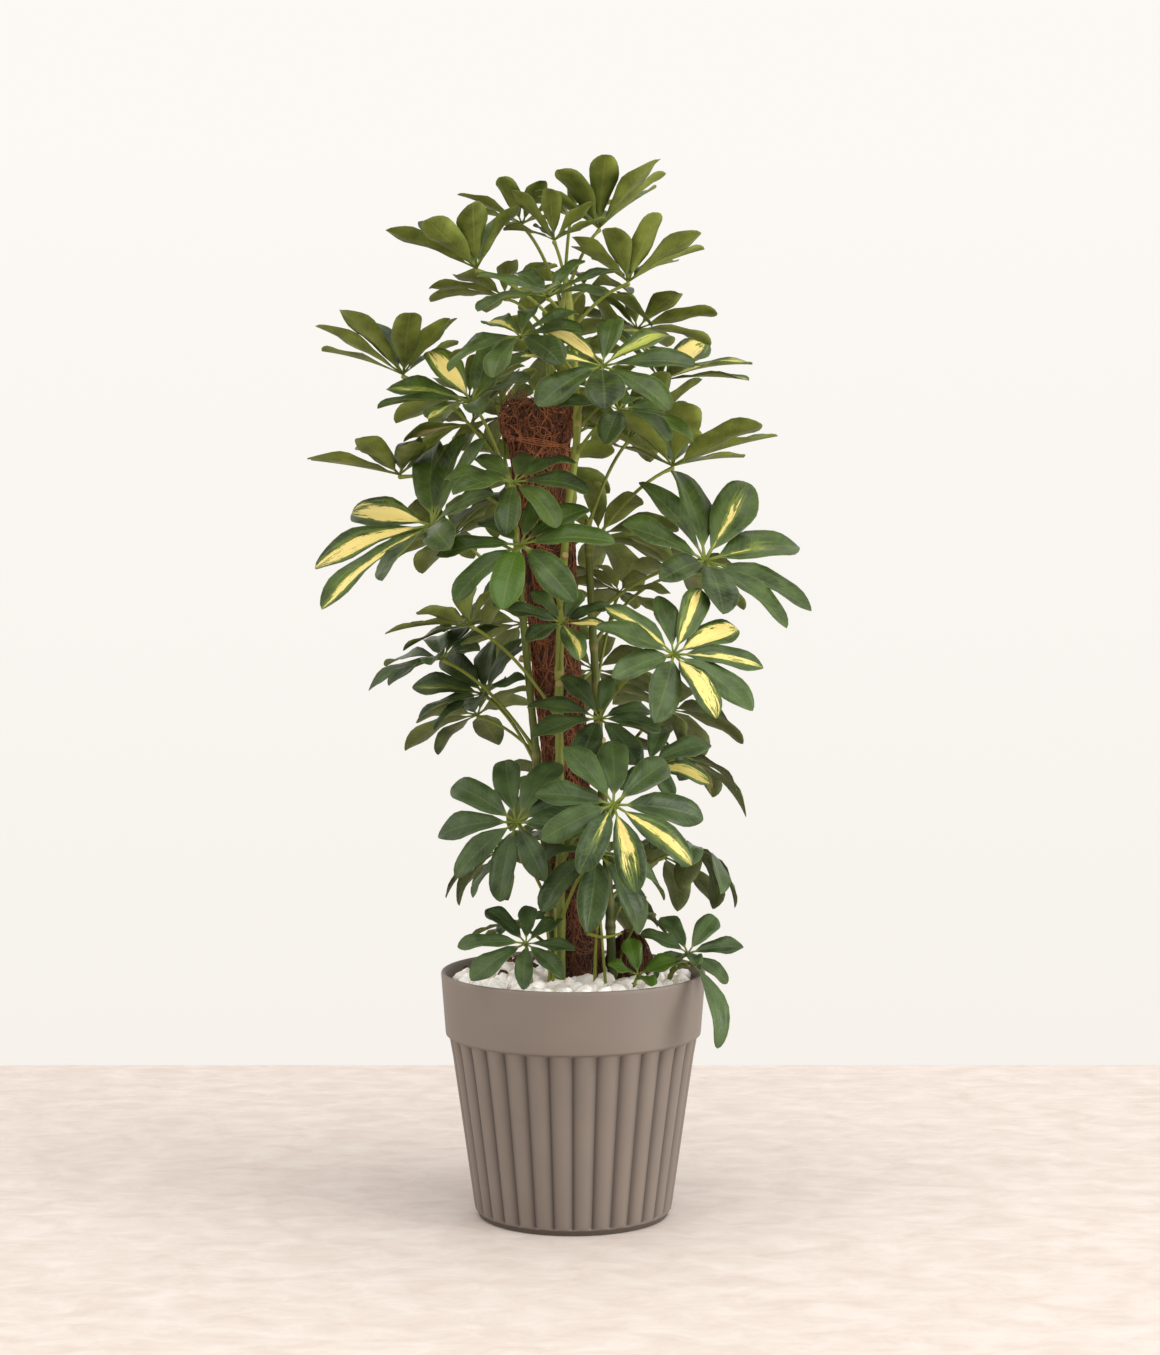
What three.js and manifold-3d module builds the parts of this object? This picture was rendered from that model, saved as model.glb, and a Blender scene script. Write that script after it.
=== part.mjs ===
// A potted umbrella plant: a fluted plastic pot, soil, white stone chips, a coir pole and the leafy stems
// tied along it. Millimetres, +Z up, origin on the pot's underside at its centre, front towards -Y.
import * as THREE from "three";
import { mergeVertices } from "three/addons/utils/BufferGeometryUtils.js";
import Module from "manifold-3d";

const wasm = await Module();
wasm.setup();

// ---- driving dimensions ----
const RIM_RADIUS = 150;
const POT_HEIGHT = 279;
const POT_WALL = 5.5;
const POT_FLOOR = 6;
const FOOT_RADIUS = 108;
const RIB_COUNT = 32;
const RIB_DEPTH = 4.5;
const RIB_BOTTOM = { z: 5, radius: 111.5 };
const RIB_TOP = { z: 209, radius: 142 };
const COLLAR_BOTTOM = { z: 207.5, radius: 145 };
const SOIL_TOP = 254;
const CHIP_RINGS = 9;
const CHIP_HEIGHT = 7;
const CHIP_BED = 8; // depth of the chip layer at the pot's wall
const CHIP_MOUND = 4; // and how much deeper it is in the middle
const POLE_BASE = [10, 0, 265]; // the pole leans from here
const POLE_TOP = [-42, 0, 925]; // to here
const POLE_RADIUS = 26;
const TUFT_RADIUS = 41;
const WRAP_FOOT = 150;
const WRAP_TOP = 928;
const CORE_RADIUS = 12;
const CORE_FOOT = 60;
const CORE_TOP = 880;
const REST_GAP = 0.35; // between pieces that rest in each other
const HOLE_ROOM = 0.6; // round a stem in the soil
const ABOVE_POT = 300; // holes in the soil and chips are cut up to here
const PETIOLE_RADIUS = 1.9;
const BLADE_THICKNESS = 1.8; // at the midrib
const BLADE_WIDTH = 0.17; // half width as a share of the leaflet's length
const STALK_STEPS = 4;
const THIRDS = [0, (2 * Math.PI) / 3, (4 * Math.PI) / 3];
const HUB_HEIGHT = 1.6;
const CROTCH_RADIUS = 4;
const HUB_ROOM = 8; // kept free round every hub
const CLEARANCE = 0.7; // air kept round a leaflet that passes another
const NEAR_HUB = 0.04; // shares of a leaflet's length from where on it is tested against other leaves
const PAST_HUB = 0.14; // and against the leaflets of its own leaf
const MOST_DROPPED = 20;
const FULL_CIRCLE = 349; // degrees that a leaf's leaflets share

const FINISH = {
  pot: { color: 0x8a7a6d, roughness: 0.6 },
  soil: { color: 0x3a281c, roughness: 1 },
  chips: { color: 0xe9e6df, roughness: 0.8 },
  coir: { color: 0x5a2f1b, roughness: 1 },
  core: { color: 0x8c7350, roughness: 0.9 },
  leaf: { color: 0x3f5a2c, roughness: 0.45 },
};

// Each stem: its path from the soil up, its radius at the foot and at the tip, and its steps.
const STEMS = {
  stem_left: {
    path: [
      [-20, -30, 190], [-24, -30, 330], [-39, -26, 500], [-54, -26, 655], [-66, -30, 790], [-76, -28, 850],
    ],
    radii: [5.2, 3.4],
    steps: 14,
  },
  stem_front: {
    path: [
      [-14, -44, 190], [-14, -43, 330], [-15, -38, 500], [-15, -36, 650], [-6, -36, 800], [4, -34, 880],
      [2, -24, 960], [-4, -14, 1030], [-8, -10, 1060],
    ],
    radii: [5.6, 3.2],
    steps: 14,
  },
  stem_right: {
    path: [[46, -14, 190], [42, -14, 330], [32, -14, 500], [20, -12, 700], [16, -8, 790]],
    radii: [5.6, 3.8],
    steps: 14,
  },
  stem_back: {
    path: [
      [12, 44, 190], [6, 43, 330], [-12, 42, 500], [-24, 42, 700], [-36, 50, 880], [-24, 42, 960],
      [-10, 26, 1045],
    ],
    radii: [5, 2.8],
    steps: 14,
  },
  shoot_left: { path: [[-44, -74, 215], [-45, -74, 260], [-48, -72, 292]], radii: [2.6, 2.2], steps: 4 },
  shoot_right: { path: [[100, -34, 215], [104, -35, 260], [112, -37, 288]], radii: [2.6, 2.2], steps: 4 },
  seedling: { path: [[64, -84, 225], [66, -84, 258], [68, -85, 279]], radii: [2.2, 2], steps: 3 },
};

// Each leaf: height where its stalk leaves the stem, hub x, y, z, azimuth and angle of its lean, number of
// leaflets, their length, how far they rise from the hub and then bend over, and a turn about the hub.
const LEAVES = {
  stem_front: [
    [985, -108, 10, 1070, 193, 19, 9, 115, 41, 8, 58],
    [1030, -21, -20, 1099, 92, 15, 7, 76, 38, 22, 30],
    [1045, 29, 20, 1116, 110, 7, 9, 108, 38, 17, -71],
    [1000, 61, -30, 1052, 71, 13, 9, 100, 39, 14, -9],
    [975, -27, -110, 1030, -110, 22, 7, 100, 28, 28, 12],
    [950, -56, -120, 986, -120, 30, 8, 94, 20, 45, -8],
    [900, 31, -150, 953, -85, 38, 8, 112, 20, 32, 0],
    [905, 22, 22, 934, 85, 30, 7, 70, 30, 30, 0],
    [860, 50, -72, 909, -50, 26, 8, 97, 20, 44, -5],
    [890, 100, 50, 947, -15, 18, 8, 118, 32, 18, -5],
    [690, -55, -190, 763, -105, 42, 8, 110, 16, 40, 22],
    [566, -114, -42, 672, 168, 32, 8, 98, 30, 25, 8],
    [620, -12, -130, 677, -75, 34, 7, 72, 30, 34, 25],
    [400, 43, -190, 487, -75, 56, 9, 112, 10, 32, 4],
    [340, 26, -110, 425, -65, 26, 7, 108, -4, 62, 12],
  ],
  stem_left: [
    [842, -192, 20, 952, 119, 8, 9, 118, 35, 12, 36],
    [795, -195, 0, 839, 165, 12, 8, 111, 30, 15, 18],
    [830, -111, -60, 918, -125, 28, 8, 112, 28, 26, 25],
    [815, -118, 90, 898, 150, 30, 7, 95, 25, 35, 8],
    [846, -83, 45, 905, 160, 45, 7, 80, 27, 44, 0],
    [690, -153, -90, 783, -142, 48, 9, 156, 22, 24, 0],
    [775, -63, -150, 829, -93, 32, 8, 92, 20, 48, 10],
    [530, -146, -20, 633, -150, 24, 8, 98, 25, 36, 8],
    [512, -100, 10, 591, -145, 36, 9, 95, 28, 31, 4],
    [385, -62, -100, 458, -105, 55, 9, 106, 12, 46, 18],
    [350, -62, -24, 418, -165, 28, 7, 84, 8, 45, 0],
  ],
  stem_right: [
    [780, 63, 50, 880, 97, 22, 8, 112, 42, 4, -56],
    [755, 112, 10, 849, 54, 13, 8, 135, 30, 15, -22],
    [680, 147, -20, 743, -50, 45, 9, 144, 20, 24, 10],
    [566, 108, -150, 645, -68, 48, 10, 113, 20, 28, -4],
    [510, 29, -78, 570, -80, 34, 8, 88, 20, 42, -8],
    [440, 84, -26, 514, -80, 36, 7, 82, 22, 36, -10],
    [450, 121, 40, 519, 25, 34, 8, 104, 16, 45, -10],
    [360, 135, 20, 417, 30, 30, 8, 96, 4, 70, 8],
    [600, 52, 40, 706, 60, 26, 8, 76, 26, 34, 0],
    [650, 124, 104, 726, 40, 30, 8, 106, 24, 34, 0],
    [480, 112, 118, 566, 50, 34, 8, 102, 20, 42, 6],
    [330, 104, 96, 396, 48, 34, 7, 96, 10, 56, -6],
  ],
  stem_back: [
    [1030, -59, 84, 1127, 105, 14, 7, 80, 33, 19, 56],
    [1042, -3, 110, 1137, 80, 16, 7, 80, 36, 22, -20],
    [1000, 12, 72, 1052, 50, 26, 7, 96, 12, 52, 0],
    [985, -80, 112, 1046, 130, 24, 8, 98, 30, 30, 0],
    [960, 74, 128, 1010, 55, 26, 8, 102, 30, 30, 8],
    [930, -30, 168, 985, 100, 32, 8, 104, 26, 36, -6],
    [880, -122, 140, 930, 135, 30, 8, 104, 26, 36, 5],
    [850, 60, 176, 905, 70, 34, 8, 106, 24, 38, 0],
    [760, -78, 62, 815, 160, 26, 7, 100, 12, 45, 0],
    [800, -40, 196, 850, 100, 40, 8, 108, 20, 40, 10],
    [720, -140, 136, 770, 138, 36, 8, 104, 24, 36, 0],
    [720, 30, 196, 770, 84, 40, 9, 110, 20, 38, 0],
    [630, -44, 92, 712, 150, 24, 8, 104, 14, 46, 0],
    [560, -60, 190, 664, 108, 42, 8, 104, 18, 40, -8],
    [540, 24, 176, 610, 78, 40, 8, 100, 16, 44, 8],
    [480, -112, 116, 560, 138, 36, 8, 98, 18, 44, 0],
    [390, -20, 160, 480, 98, 44, 8, 100, 10, 50, 0],
    [340, -84, 96, 404, 135, 36, 8, 92, 8, 54, 6],
    [300, 34, 118, 352, 80, 34, 7, 84, 8, 56, 0],
  ],
  shoot_left: [[288, -52, -92, 323, -92, 40, 8, 76, 12, 34, 86]],
  shoot_right: [
    [284, 128, -52, 306, -75, 42, 7, 66, 12, 30, 50],
    [278, 128, -60, 296, -35, 14, 3, 112, 6, 92, 0],
  ],
  seedling: [[277, 72, -88, 287, -87, 27, 4, 50, 30, 19, 38]],
};

// Bends that a leaflet tries in turn until it passes clear of what stands already: rise and swing, degrees.
const BENDS = [
  [0, 0], [10, 0], [-10, 0], [0, 9], [0, -9], [20, 0], [-20, 0], [12, 10], [12, -10], [-12, 10], [-12, -10],
  [32, 0], [-32, 0], [24, 12], [24, -12], [-24, 12], [-24, -12], [45, 0], [-45, 0],
];
// Bows that a leaf stalk tries: sideways and upwards, as a share of its length.
const BOWS = [
  [0, 0.1], [0.12, 0.1], [-0.12, 0.1], [0.24, 0.1], [-0.24, 0.1], [0, 0.3], [0, -0.1], [0.36, 0.15],
  [-0.36, 0.15], [0.3, 0.4], [-0.3, 0.4], [0.5, 0.1], [-0.5, 0.1],
];

// ---- small helpers ----
const rad = THREE.MathUtils.degToRad;
const vec = (p) => new THREE.Vector3(p[0], p[1], p[2]);

// The same seed gives the same plant.
function seededRandom(seed) {
  let state = seed;
  return () => {
    state = (state * 1664525 + 1013904223) % 4294967296;
    return state / 4294967296;
  };
}

function solidOf(geometry) {
  const plain = geometry.clone();
  plain.deleteAttribute("normal");
  plain.deleteAttribute("uv");
  const merged = mergeVertices(plain, 1e-4);
  const vertProperties = new Float32Array(merged.attributes.position.array);
  const triVerts = new Uint32Array(merged.index.array);
  return new wasm.Manifold(new wasm.Mesh({ numProp: 3, vertProperties, triVerts }));
}

function meshOf(name, solid, finish) {
  const made = solid.getMesh();
  const geometry = new THREE.BufferGeometry();
  geometry.setAttribute("position", new THREE.BufferAttribute(new Float32Array(made.vertProperties), 3));
  geometry.setIndex(new THREE.BufferAttribute(new Uint32Array(made.triVerts), 1));
  geometry.computeVertexNormals();
  const mesh = new THREE.Mesh(geometry, new THREE.MeshStandardMaterial({ ...FINISH[finish], metalness: 0 }));
  mesh.name = name;
  return mesh;
}

const joined = (solids) => solids.reduce((whole, next) => whole.add(next));

function overlaps(a, b) {
  const common = a.intersect(b);
  const touching = !common.isEmpty();
  common.delete();
  return touching;
}

function boxesMeet(a, b) {
  return [0, 1, 2].every((i) => a.min[i] <= b.max[i] && b.min[i] <= a.max[i]);
}

// A tube along a curve that tapers from one radius to another.
function tube(curve, radii, sides, steps) {
  const section = new THREE.Shape();
  for (let i = 0; i < sides; i++) {
    const a = (i / sides) * 2 * Math.PI;
    if (i === 0) section.moveTo(Math.cos(a), Math.sin(a));
    else section.lineTo(Math.cos(a), Math.sin(a));
  }
  const geometry = new THREE.ExtrudeGeometry(section, { steps, extrudePath: curve, bevelEnabled: false });
  const stations = curve.getSpacedPoints(steps);
  const position = geometry.attributes.position;
  const point = new THREE.Vector3();
  for (let i = 0; i < position.count; i++) {
    point.fromBufferAttribute(position, i);
    const distances = stations.map((station) => station.distanceTo(point));
    const near = distances.indexOf(Math.min(...distances));
    const radius = radii[0] + (radii[1] - radii[0]) * (near / steps);
    point.sub(stations[near]).multiplyScalar(radius).add(stations[near]);
    position.setXYZ(i, point.x, point.y, point.z);
  }
  return solidOf(geometry);
}

// ---- pot ----
function turned(profile, segments) {
  const geometry = new THREE.LatheGeometry(profile.map(([r, z]) => new THREE.Vector2(r, z)), segments);
  return geometry.rotateX(Math.PI / 2);
}

// The body's wall is pressed in between its ribs, three points to a rib.
function ribbedBody() {
  const foot = [[0, 0], [FOOT_RADIUS, 0], [FOOT_RADIUS, RIB_BOTTOM.z]];
  const wall = [
    [RIB_BOTTOM.radius, RIB_BOTTOM.z + 2],
    [RIB_BOTTOM.radius + 1.5, RIB_BOTTOM.z + 9],
    [RIB_TOP.radius, RIB_TOP.z],
  ];
  const geometry = turned([...foot, ...wall, [0, RIB_TOP.z]], RIB_COUNT * 3);
  const position = geometry.attributes.position;
  for (let i = 0; i < position.count; i++) {
    const [x, y, z] = [position.getX(i), position.getY(i), position.getZ(i)];
    const radius = Math.hypot(x, y);
    if (z < RIB_BOTTOM.z + 1 || radius < 1) continue;
    const turn = (Math.atan2(y, x) + Math.PI / 2) / (2 * Math.PI);
    const across = Math.abs(Math.sin(turn * RIB_COUNT * Math.PI)); // 0 in a groove, 1 on a rib
    const pressed = 1 - (RIB_DEPTH * (1 - Math.sqrt(across))) / radius;
    position.setXY(i, x * pressed, y * pressed);
  }
  return solidOf(geometry);
}

function makePot() {
  const collar = turned([
    [0, COLLAR_BOTTOM.z],
    [COLLAR_BOTTOM.radius - 1, COLLAR_BOTTOM.z],
    [COLLAR_BOTTOM.radius, COLLAR_BOTTOM.z + 3],
    [RIM_RADIUS, POT_HEIGHT - 3], [RIM_RADIUS - 1.5, POT_HEIGHT], [0, POT_HEIGHT],
  ], 48);
  const lip = RIM_RADIUS - POT_WALL;
  const hollow = turned([
    [0, POT_FLOOR], [FOOT_RADIUS - POT_WALL, POT_FLOOR], [lip - 1, POT_HEIGHT - 4], [lip + 0.5, POT_HEIGHT],
    [lip + 0.5, POT_HEIGHT + 5], [0, POT_HEIGHT + 5],
  ], 40);
  return ribbedBody().add(solidOf(collar)).subtract(solidOf(hollow));
}

// Radius inside the pot at a height.
function insideRadius(z) {
  const low = { z: POT_FLOOR, radius: FOOT_RADIUS - POT_WALL };
  const high = { z: POT_HEIGHT - 4, radius: RIM_RADIUS - POT_WALL - 1 };
  return low.radius + ((high.radius - low.radius) * (z - low.z)) / (high.z - low.z);
}

// ---- soil, chips and pole ----
function makeSoil(holes) {
  const floor = POT_FLOOR + REST_GAP;
  const [low, high] = [insideRadius(floor) - 1, insideRadius(SOIL_TOP) - 1];
  const profile = [[0, floor], [low, floor], [high, SOIL_TOP], [0, SOIL_TOP]];
  return holes.reduce((whole, hole) => whole.subtract(hole), solidOf(turned(profile, 32)));
}

// Stone chips as relief on a triangular lattice bent into rings: every third point of it stands up as a chip.
function makeChips(holes) {
  const random = seededRandom(11);
  const base = SOIL_TOP + REST_GAP;
  const radius = insideRadius(base) - 1.5;
  const pitch = radius / CHIP_RINGS;
  const points = [[0, 0, base + CHIP_BED + CHIP_MOUND]];
  const ringStart = [0];
  const corners = [[1, 0], [0, 1], [-1, 1], [-1, 0], [0, -1], [1, -1]];
  for (let ring = 1; ring <= CHIP_RINGS; ring++) {
    ringStart.push(points.length);
    for (let k = 0; k < 6 * ring; k++) {
      const sector = Math.floor(k / ring);
      const step = k % ring;
      const [a, b] = [corners[sector], corners[(sector + 1) % 6]];
      const q = a[0] * (ring - step) + b[0] * step;
      const r = a[1] * (ring - step) + b[1] * step;
      const standing = (((q - r) % 3) + 3) % 3 === 0 && ring < CHIP_RINGS;
      const edge = ring === CHIP_RINGS;
      const angle = (k / (6 * ring)) * 2 * Math.PI + (edge ? 0 : (random() - 0.5) * 0.3 / ring);
      const out = ring * pitch + (edge ? 0 : (random() - 0.5) * 0.3 * pitch);
      const stone = standing ? CHIP_HEIGHT * (0.7 + 0.6 * random()) : 0;
      const height = CHIP_BED + CHIP_MOUND * (1 - ring / CHIP_RINGS) + stone;
      points.push([out * Math.cos(angle), out * Math.sin(angle), base + height]);
    }
  }
  const at = (ring, k) => (ring === 0 ? 0 : ringStart[ring] + (k % (6 * ring)));
  const faces = [];
  for (let ring = 1; ring <= CHIP_RINGS; ring++) {
    for (let sector = 0; sector < 6; sector++) {
      for (let step = 0; step < ring; step++) {
        const outer = sector * ring + step;
        const inner = sector * (ring - 1) + step;
        faces.push([at(ring, outer), at(ring, outer + 1), at(ring - 1, inner)]);
        if (step < ring - 1) faces.push([at(ring - 1, inner), at(ring, outer + 1), at(ring - 1, inner + 1)]);
      }
    }
  }
  const edgeCount = 6 * CHIP_RINGS;
  const underside = points.length;
  for (let k = 0; k < edgeCount; k++) {
    const [x, y] = points[ringStart[CHIP_RINGS] + k];
    points.push([x, y, base]);
  }
  const middle = points.length;
  points.push([0, 0, base]);
  for (let k = 0; k < edgeCount; k++) {
    const [top, topNext] = [at(CHIP_RINGS, k), at(CHIP_RINGS, k + 1)];
    const [low, lowNext] = [underside + k, underside + ((k + 1) % edgeCount)];
    faces.push([top, low, lowNext], [top, lowNext, topNext], [low, middle, lowNext]);
  }
  const geometry = new THREE.BufferGeometry();
  geometry.setAttribute("position", new THREE.Float32BufferAttribute(points.flat(), 3));
  geometry.setIndex(faces.flat());
  return holes.reduce((whole, hole) => whole.subtract(hole), solidOf(geometry));
}

// A body turned about the pole's own leaning axis. rows are [radius, height]; lumps makes it uneven.
function poleBody(rows, segments, lumps) {
  const geometry = turned(rows, segments);
  const lean = (POLE_TOP[0] - POLE_BASE[0]) / (POLE_TOP[2] - POLE_BASE[2]);
  const position = geometry.attributes.position;
  for (let i = 0; i < position.count; i++) {
    const [x, y, z] = [position.getX(i), position.getY(i), position.getZ(i)];
    const turn = Math.atan2(y, x);
    const swell = 1 + lumps * (Math.sin(3 * turn + z / 37) + 0.6 * Math.sin(5 * turn - z / 23));
    position.setXY(i, x * swell + POLE_BASE[0] + lean * (z - POLE_BASE[2]), y * swell);
  }
  return solidOf(geometry);
}

// A plain round length of the pole's axis.
function poleRod(radius, from, to, segments) {
  return poleBody([[0, from], [radius, from], [radius, to], [0, to]], segments, 0);
}

// The coir wrap is wider at its top, where the fibres are loose, and has a bore for the stake.
function makeWrap() {
  const wrap = poleBody([
    [0, WRAP_FOOT], [POLE_RADIUS, WRAP_FOOT], [POLE_RADIUS, 262], [POLE_RADIUS + 1, 390],
    [POLE_RADIUS, 520], [POLE_RADIUS + 2, 660], [POLE_RADIUS + 5, 780], [POLE_RADIUS + 7, 830],
    [POLE_RADIUS + 8, 872], [TUFT_RADIUS - 1, 892], [TUFT_RADIUS, 908], [TUFT_RADIUS - 6, WRAP_TOP - 5],
    [0, WRAP_TOP],
  ], 14, 0.03);
  return wrap.subtract(poleRod(CORE_RADIUS + REST_GAP + 0.3, WRAP_FOOT - 10, CORE_TOP + REST_GAP, 12));
}

// ---- leaves ----
function pathOf(stem) {
  return new THREE.CatmullRomCurve3(stem.path.map(vec));
}

function pointAtHeight(curve, z) {
  let [low, high] = [0, 1];
  for (let i = 0; i < 40; i++) {
    const middle = (low + high) / 2;
    if (curve.getPoint(middle).z < z) low = middle;
    else high = middle;
  }
  return curve.getPoint(low);
}

function readLeaf(row, foot, seed) {
  const [, x, y, z, azimuth, lean, count, length, rise, droop, turn] = row;
  const hub = new THREE.Vector3(x, y, z);
  const [a, t] = [rad(azimuth), rad(lean)];
  const up = new THREE.Vector3(Math.sin(t) * Math.cos(a), Math.sin(t) * Math.sin(a), Math.cos(t));
  const forward = hub.clone().sub(foot);
  forward.addScaledVector(up, -forward.dot(up)).normalize();
  const across = new THREE.Vector3().crossVectors(up, forward);
  const random = seededRandom(seed);
  const spread = (FULL_CIRCLE * (count - 1)) / count;
  const leaflets = [];
  for (let k = 0; k < count; k++) {
    const angle = (k / (count - 1) - 0.5) * spread;
    const beside = Math.pow(Math.abs(angle) / 180, 1.2);
    const shorter = 1 - (count > 3 ? 0.28 : 1) * beside; // the side leaflets of a leaf of three stay small
    leaflets.push({
      angle: angle + turn + (random() - 0.5) * 9,
      length: length * shorter * (0.94 + 0.12 * random()),
      rise: rise + (random() - 0.5) * 12,
      droop: droop + (random() - 0.5) * 16,
      roll: (random() - 0.5) * 26,
    });
  }
  return { hub, up, forward, across, leaflets };
}

// Points and directions along a leaflet: it leaves the hub at its rise and bends over in a round arc.
function leafletSpine(leaf, leaflet, bend) {
  const angle = rad(leaflet.angle + bend[1]);
  const rise = rad(leaflet.rise + bend[0]);
  const bendOver = rad(Math.max(leaflet.droop, 4));
  const roll = rad(leaflet.roll);
  const { forward, across, up } = leaf;
  const out = forward.clone().multiplyScalar(Math.cos(angle)).addScaledVector(across, Math.sin(angle));
  const side = across.clone().multiplyScalar(Math.cos(angle)).addScaledVector(forward, -Math.sin(angle));
  const start = out.clone().multiplyScalar(Math.cos(rise)).addScaledVector(up, Math.sin(rise));
  const over = up.clone().multiplyScalar(Math.cos(rise)).addScaledVector(out, -Math.sin(rise));
  return (t) => {
    const [s, c] = [Math.sin(bendOver * t), Math.cos(bendOver * t)];
    const reach = leaflet.length / bendOver;
    const point = leaf.hub.clone().addScaledVector(start, reach * s).addScaledVector(over, -reach * (1 - c));
    const lift = over.clone().multiplyScalar(c).addScaledVector(start, s);
    const level = side.clone().multiplyScalar(Math.cos(roll * t)).addScaledVector(lift, Math.sin(roll * t));
    const top = lift.clone().multiplyScalar(Math.cos(roll * t)).addScaledVector(side, -Math.sin(roll * t));
    return { point, level, top };
  };
}

// Half width along a leaflet as a share of its largest: thin at the hub, widest past the blade's middle.
const SECTIONS = [{ t: 0.5, width: 0.86 }, { t: 0.82, width: 0.92 }];
const FOLD = 0.2;

function sectionPoints(spine, leaflet, section, extra) {
  const { point, level, top } = spine(section.t);
  const half = leaflet.length * BLADE_WIDTH * section.width + extra;
  const thick = BLADE_THICKNESS / 2 + extra;
  return {
    left: point.clone().addScaledVector(level, half).addScaledVector(top, half * FOLD),
    right: point.clone().addScaledVector(level, -half).addScaledVector(top, half * FOLD),
    top: point.clone().addScaledVector(top, thick),
    bottom: point.clone().addScaledVector(top, -thick),
  };
}

function bladeFaces(rings, tip, add) {
  rings.slice(1).forEach((b, i) => {
    const a = rings[i];
    add(a.right, b.right, b.top);
    add(a.right, b.top, a.top);
    add(a.top, b.top, b.left);
    add(a.top, b.left, a.left);
    add(a.right, b.bottom, b.right);
    add(a.right, a.bottom, b.bottom);
    add(a.bottom, b.left, b.bottom);
    add(a.bottom, a.left, b.left);
  });
  const last = rings[rings.length - 1];
  add(last.right, tip, last.top);
  add(last.top, tip, last.left);
  add(last.right, last.bottom, tip);
  add(last.bottom, last.left, tip);
}

function triangleSolid(build) {
  const numbers = [];
  build((...corners) => corners.forEach((p) => numbers.push(p.x, p.y, p.z)));
  const geometry = new THREE.BufferGeometry();
  geometry.setAttribute("position", new THREE.Float32BufferAttribute(numbers, 3));
  return solidOf(geometry);
}

// One leaflet alone and a little fat, from a share of its length on, to test that it passes clear.
function leafletProbe(leaf, leaflet, bend, from) {
  const spine = leafletSpine(leaf, leaflet, bend);
  const sections = [{ t: from, width: 0.14 }, ...SECTIONS];
  const rings = sections.map((section) => sectionPoints(spine, leaflet, section, CLEARANCE));
  return triangleSolid((add) => {
    const first = rings[0];
    add(first.left, first.bottom, first.top);
    add(first.right, first.top, first.bottom);
    bladeFaces(rings, spine(1.01).point, add);
  });
}

// Corners of the leaf stalk's three-sided section at each station; the last is set square to the leaf.
function stalkRings(curve, leaf) {
  const frames = curve.computeFrenetFrames(STALK_STEPS, false);
  const centres = curve.getSpacedPoints(STALK_STEPS);
  const corner = (centre, u, v, angle) => centre.clone()
    .addScaledVector(u, PETIOLE_RADIUS * Math.cos(angle))
    .addScaledVector(v, PETIOLE_RADIUS * Math.sin(angle));
  const rings = centres.slice(0, -1).map((centre, j) => THIRDS.map(
    (angle) => corner(centre, frames.normals[j], frames.binormals[j], angle),
  ));
  const lead = frames.normals[STALK_STEPS - 1];
  const start = Math.atan2(lead.dot(leaf.across), lead.dot(leaf.forward));
  rings.push(THIRDS.map((angle) => corner(centres[STALK_STEPS], leaf.forward, leaf.across, start + angle)));
  return { rings, start };
}

// A whole leaf as one body: leaflets that share the hub and the crotches between them, on their stalk.
function leafSolid(leaf, kept, curve) {
  const top = leaf.hub.clone().addScaledVector(leaf.up, HUB_HEIGHT);
  const angles = kept.map(({ leaflet, bend }) => leaflet.angle + bend[1]);
  const gapAfter = (k) => (k + 1 < angles.length ? angles[k + 1] : angles[0] + 360) - angles[k];
  const crotches = angles.map((angle, k) => {
    const middle = rad(angle + gapAfter(k) / 2);
    return leaf.hub.clone()
      .addScaledVector(leaf.forward, CROTCH_RADIUS * Math.cos(middle))
      .addScaledVector(leaf.across, CROTCH_RADIUS * Math.sin(middle));
  });
  const { rings: stalk, start } = stalkRings(curve, leaf);
  const end = stalk[STALK_STEPS];
  const nearest = (degrees) => ((Math.round((rad(degrees) - start) / (2 * Math.PI / 3)) % 3) + 3) % 3;
  return triangleSolid((add) => {
    add(stalk[0][0], stalk[0][2], stalk[0][1]);
    stalk.slice(1).forEach((b, j) => THIRDS.forEach((_, i) => {
      const [a, next] = [stalk[j], (i + 1) % 3];
      add(a[i], a[next], b[next]);
      add(a[i], b[next], b[i]);
    }));
    let held = nearest(angles[0] - gapAfter(angles.length - 1) / 4);
    const moveTo = (target, edge) => {
      for (; held !== target; held = (held + 1) % 3) add(end[held], end[(held + 1) % 3], edge);
    };
    kept.forEach(({ leaflet, bend }, k) => {
      const spine = leafletSpine(leaf, leaflet, bend);
      const blade = SECTIONS.map((section) => sectionPoints(spine, leaflet, section, 0));
      const first = blade[0];
      const before = crotches[(k + crotches.length - 1) % crotches.length];
      const after = crotches[k];
      add(top, before, first.top);
      add(before, first.right, first.top);
      add(top, first.top, after);
      add(after, first.top, first.left);
      moveTo(nearest(angles[k] - gapAfter((k + angles.length - 1) % angles.length) / 4), before);
      add(end[held], first.bottom, before);
      add(before, first.bottom, first.right);
      moveTo(nearest(angles[k] + gapAfter(k) / 4), first.bottom);
      add(end[held], after, first.bottom);
      add(after, first.left, first.bottom);
      bladeFaces(blade, spine(1).point, add);
    });
    moveTo(nearest(angles[0] - gapAfter(angles.length - 1) / 4), crotches[crotches.length - 1]);
  });
}

// ---- the plant ----
const stemCurves = Object.fromEntries(Object.entries(STEMS).map(([name, stem]) => [name, pathOf(stem)]));
const stemTube = (name, extra) => tube(
  stemCurves[name], STEMS[name].radii.map((radius) => radius + extra), 6, STEMS[name].steps,
);

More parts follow.
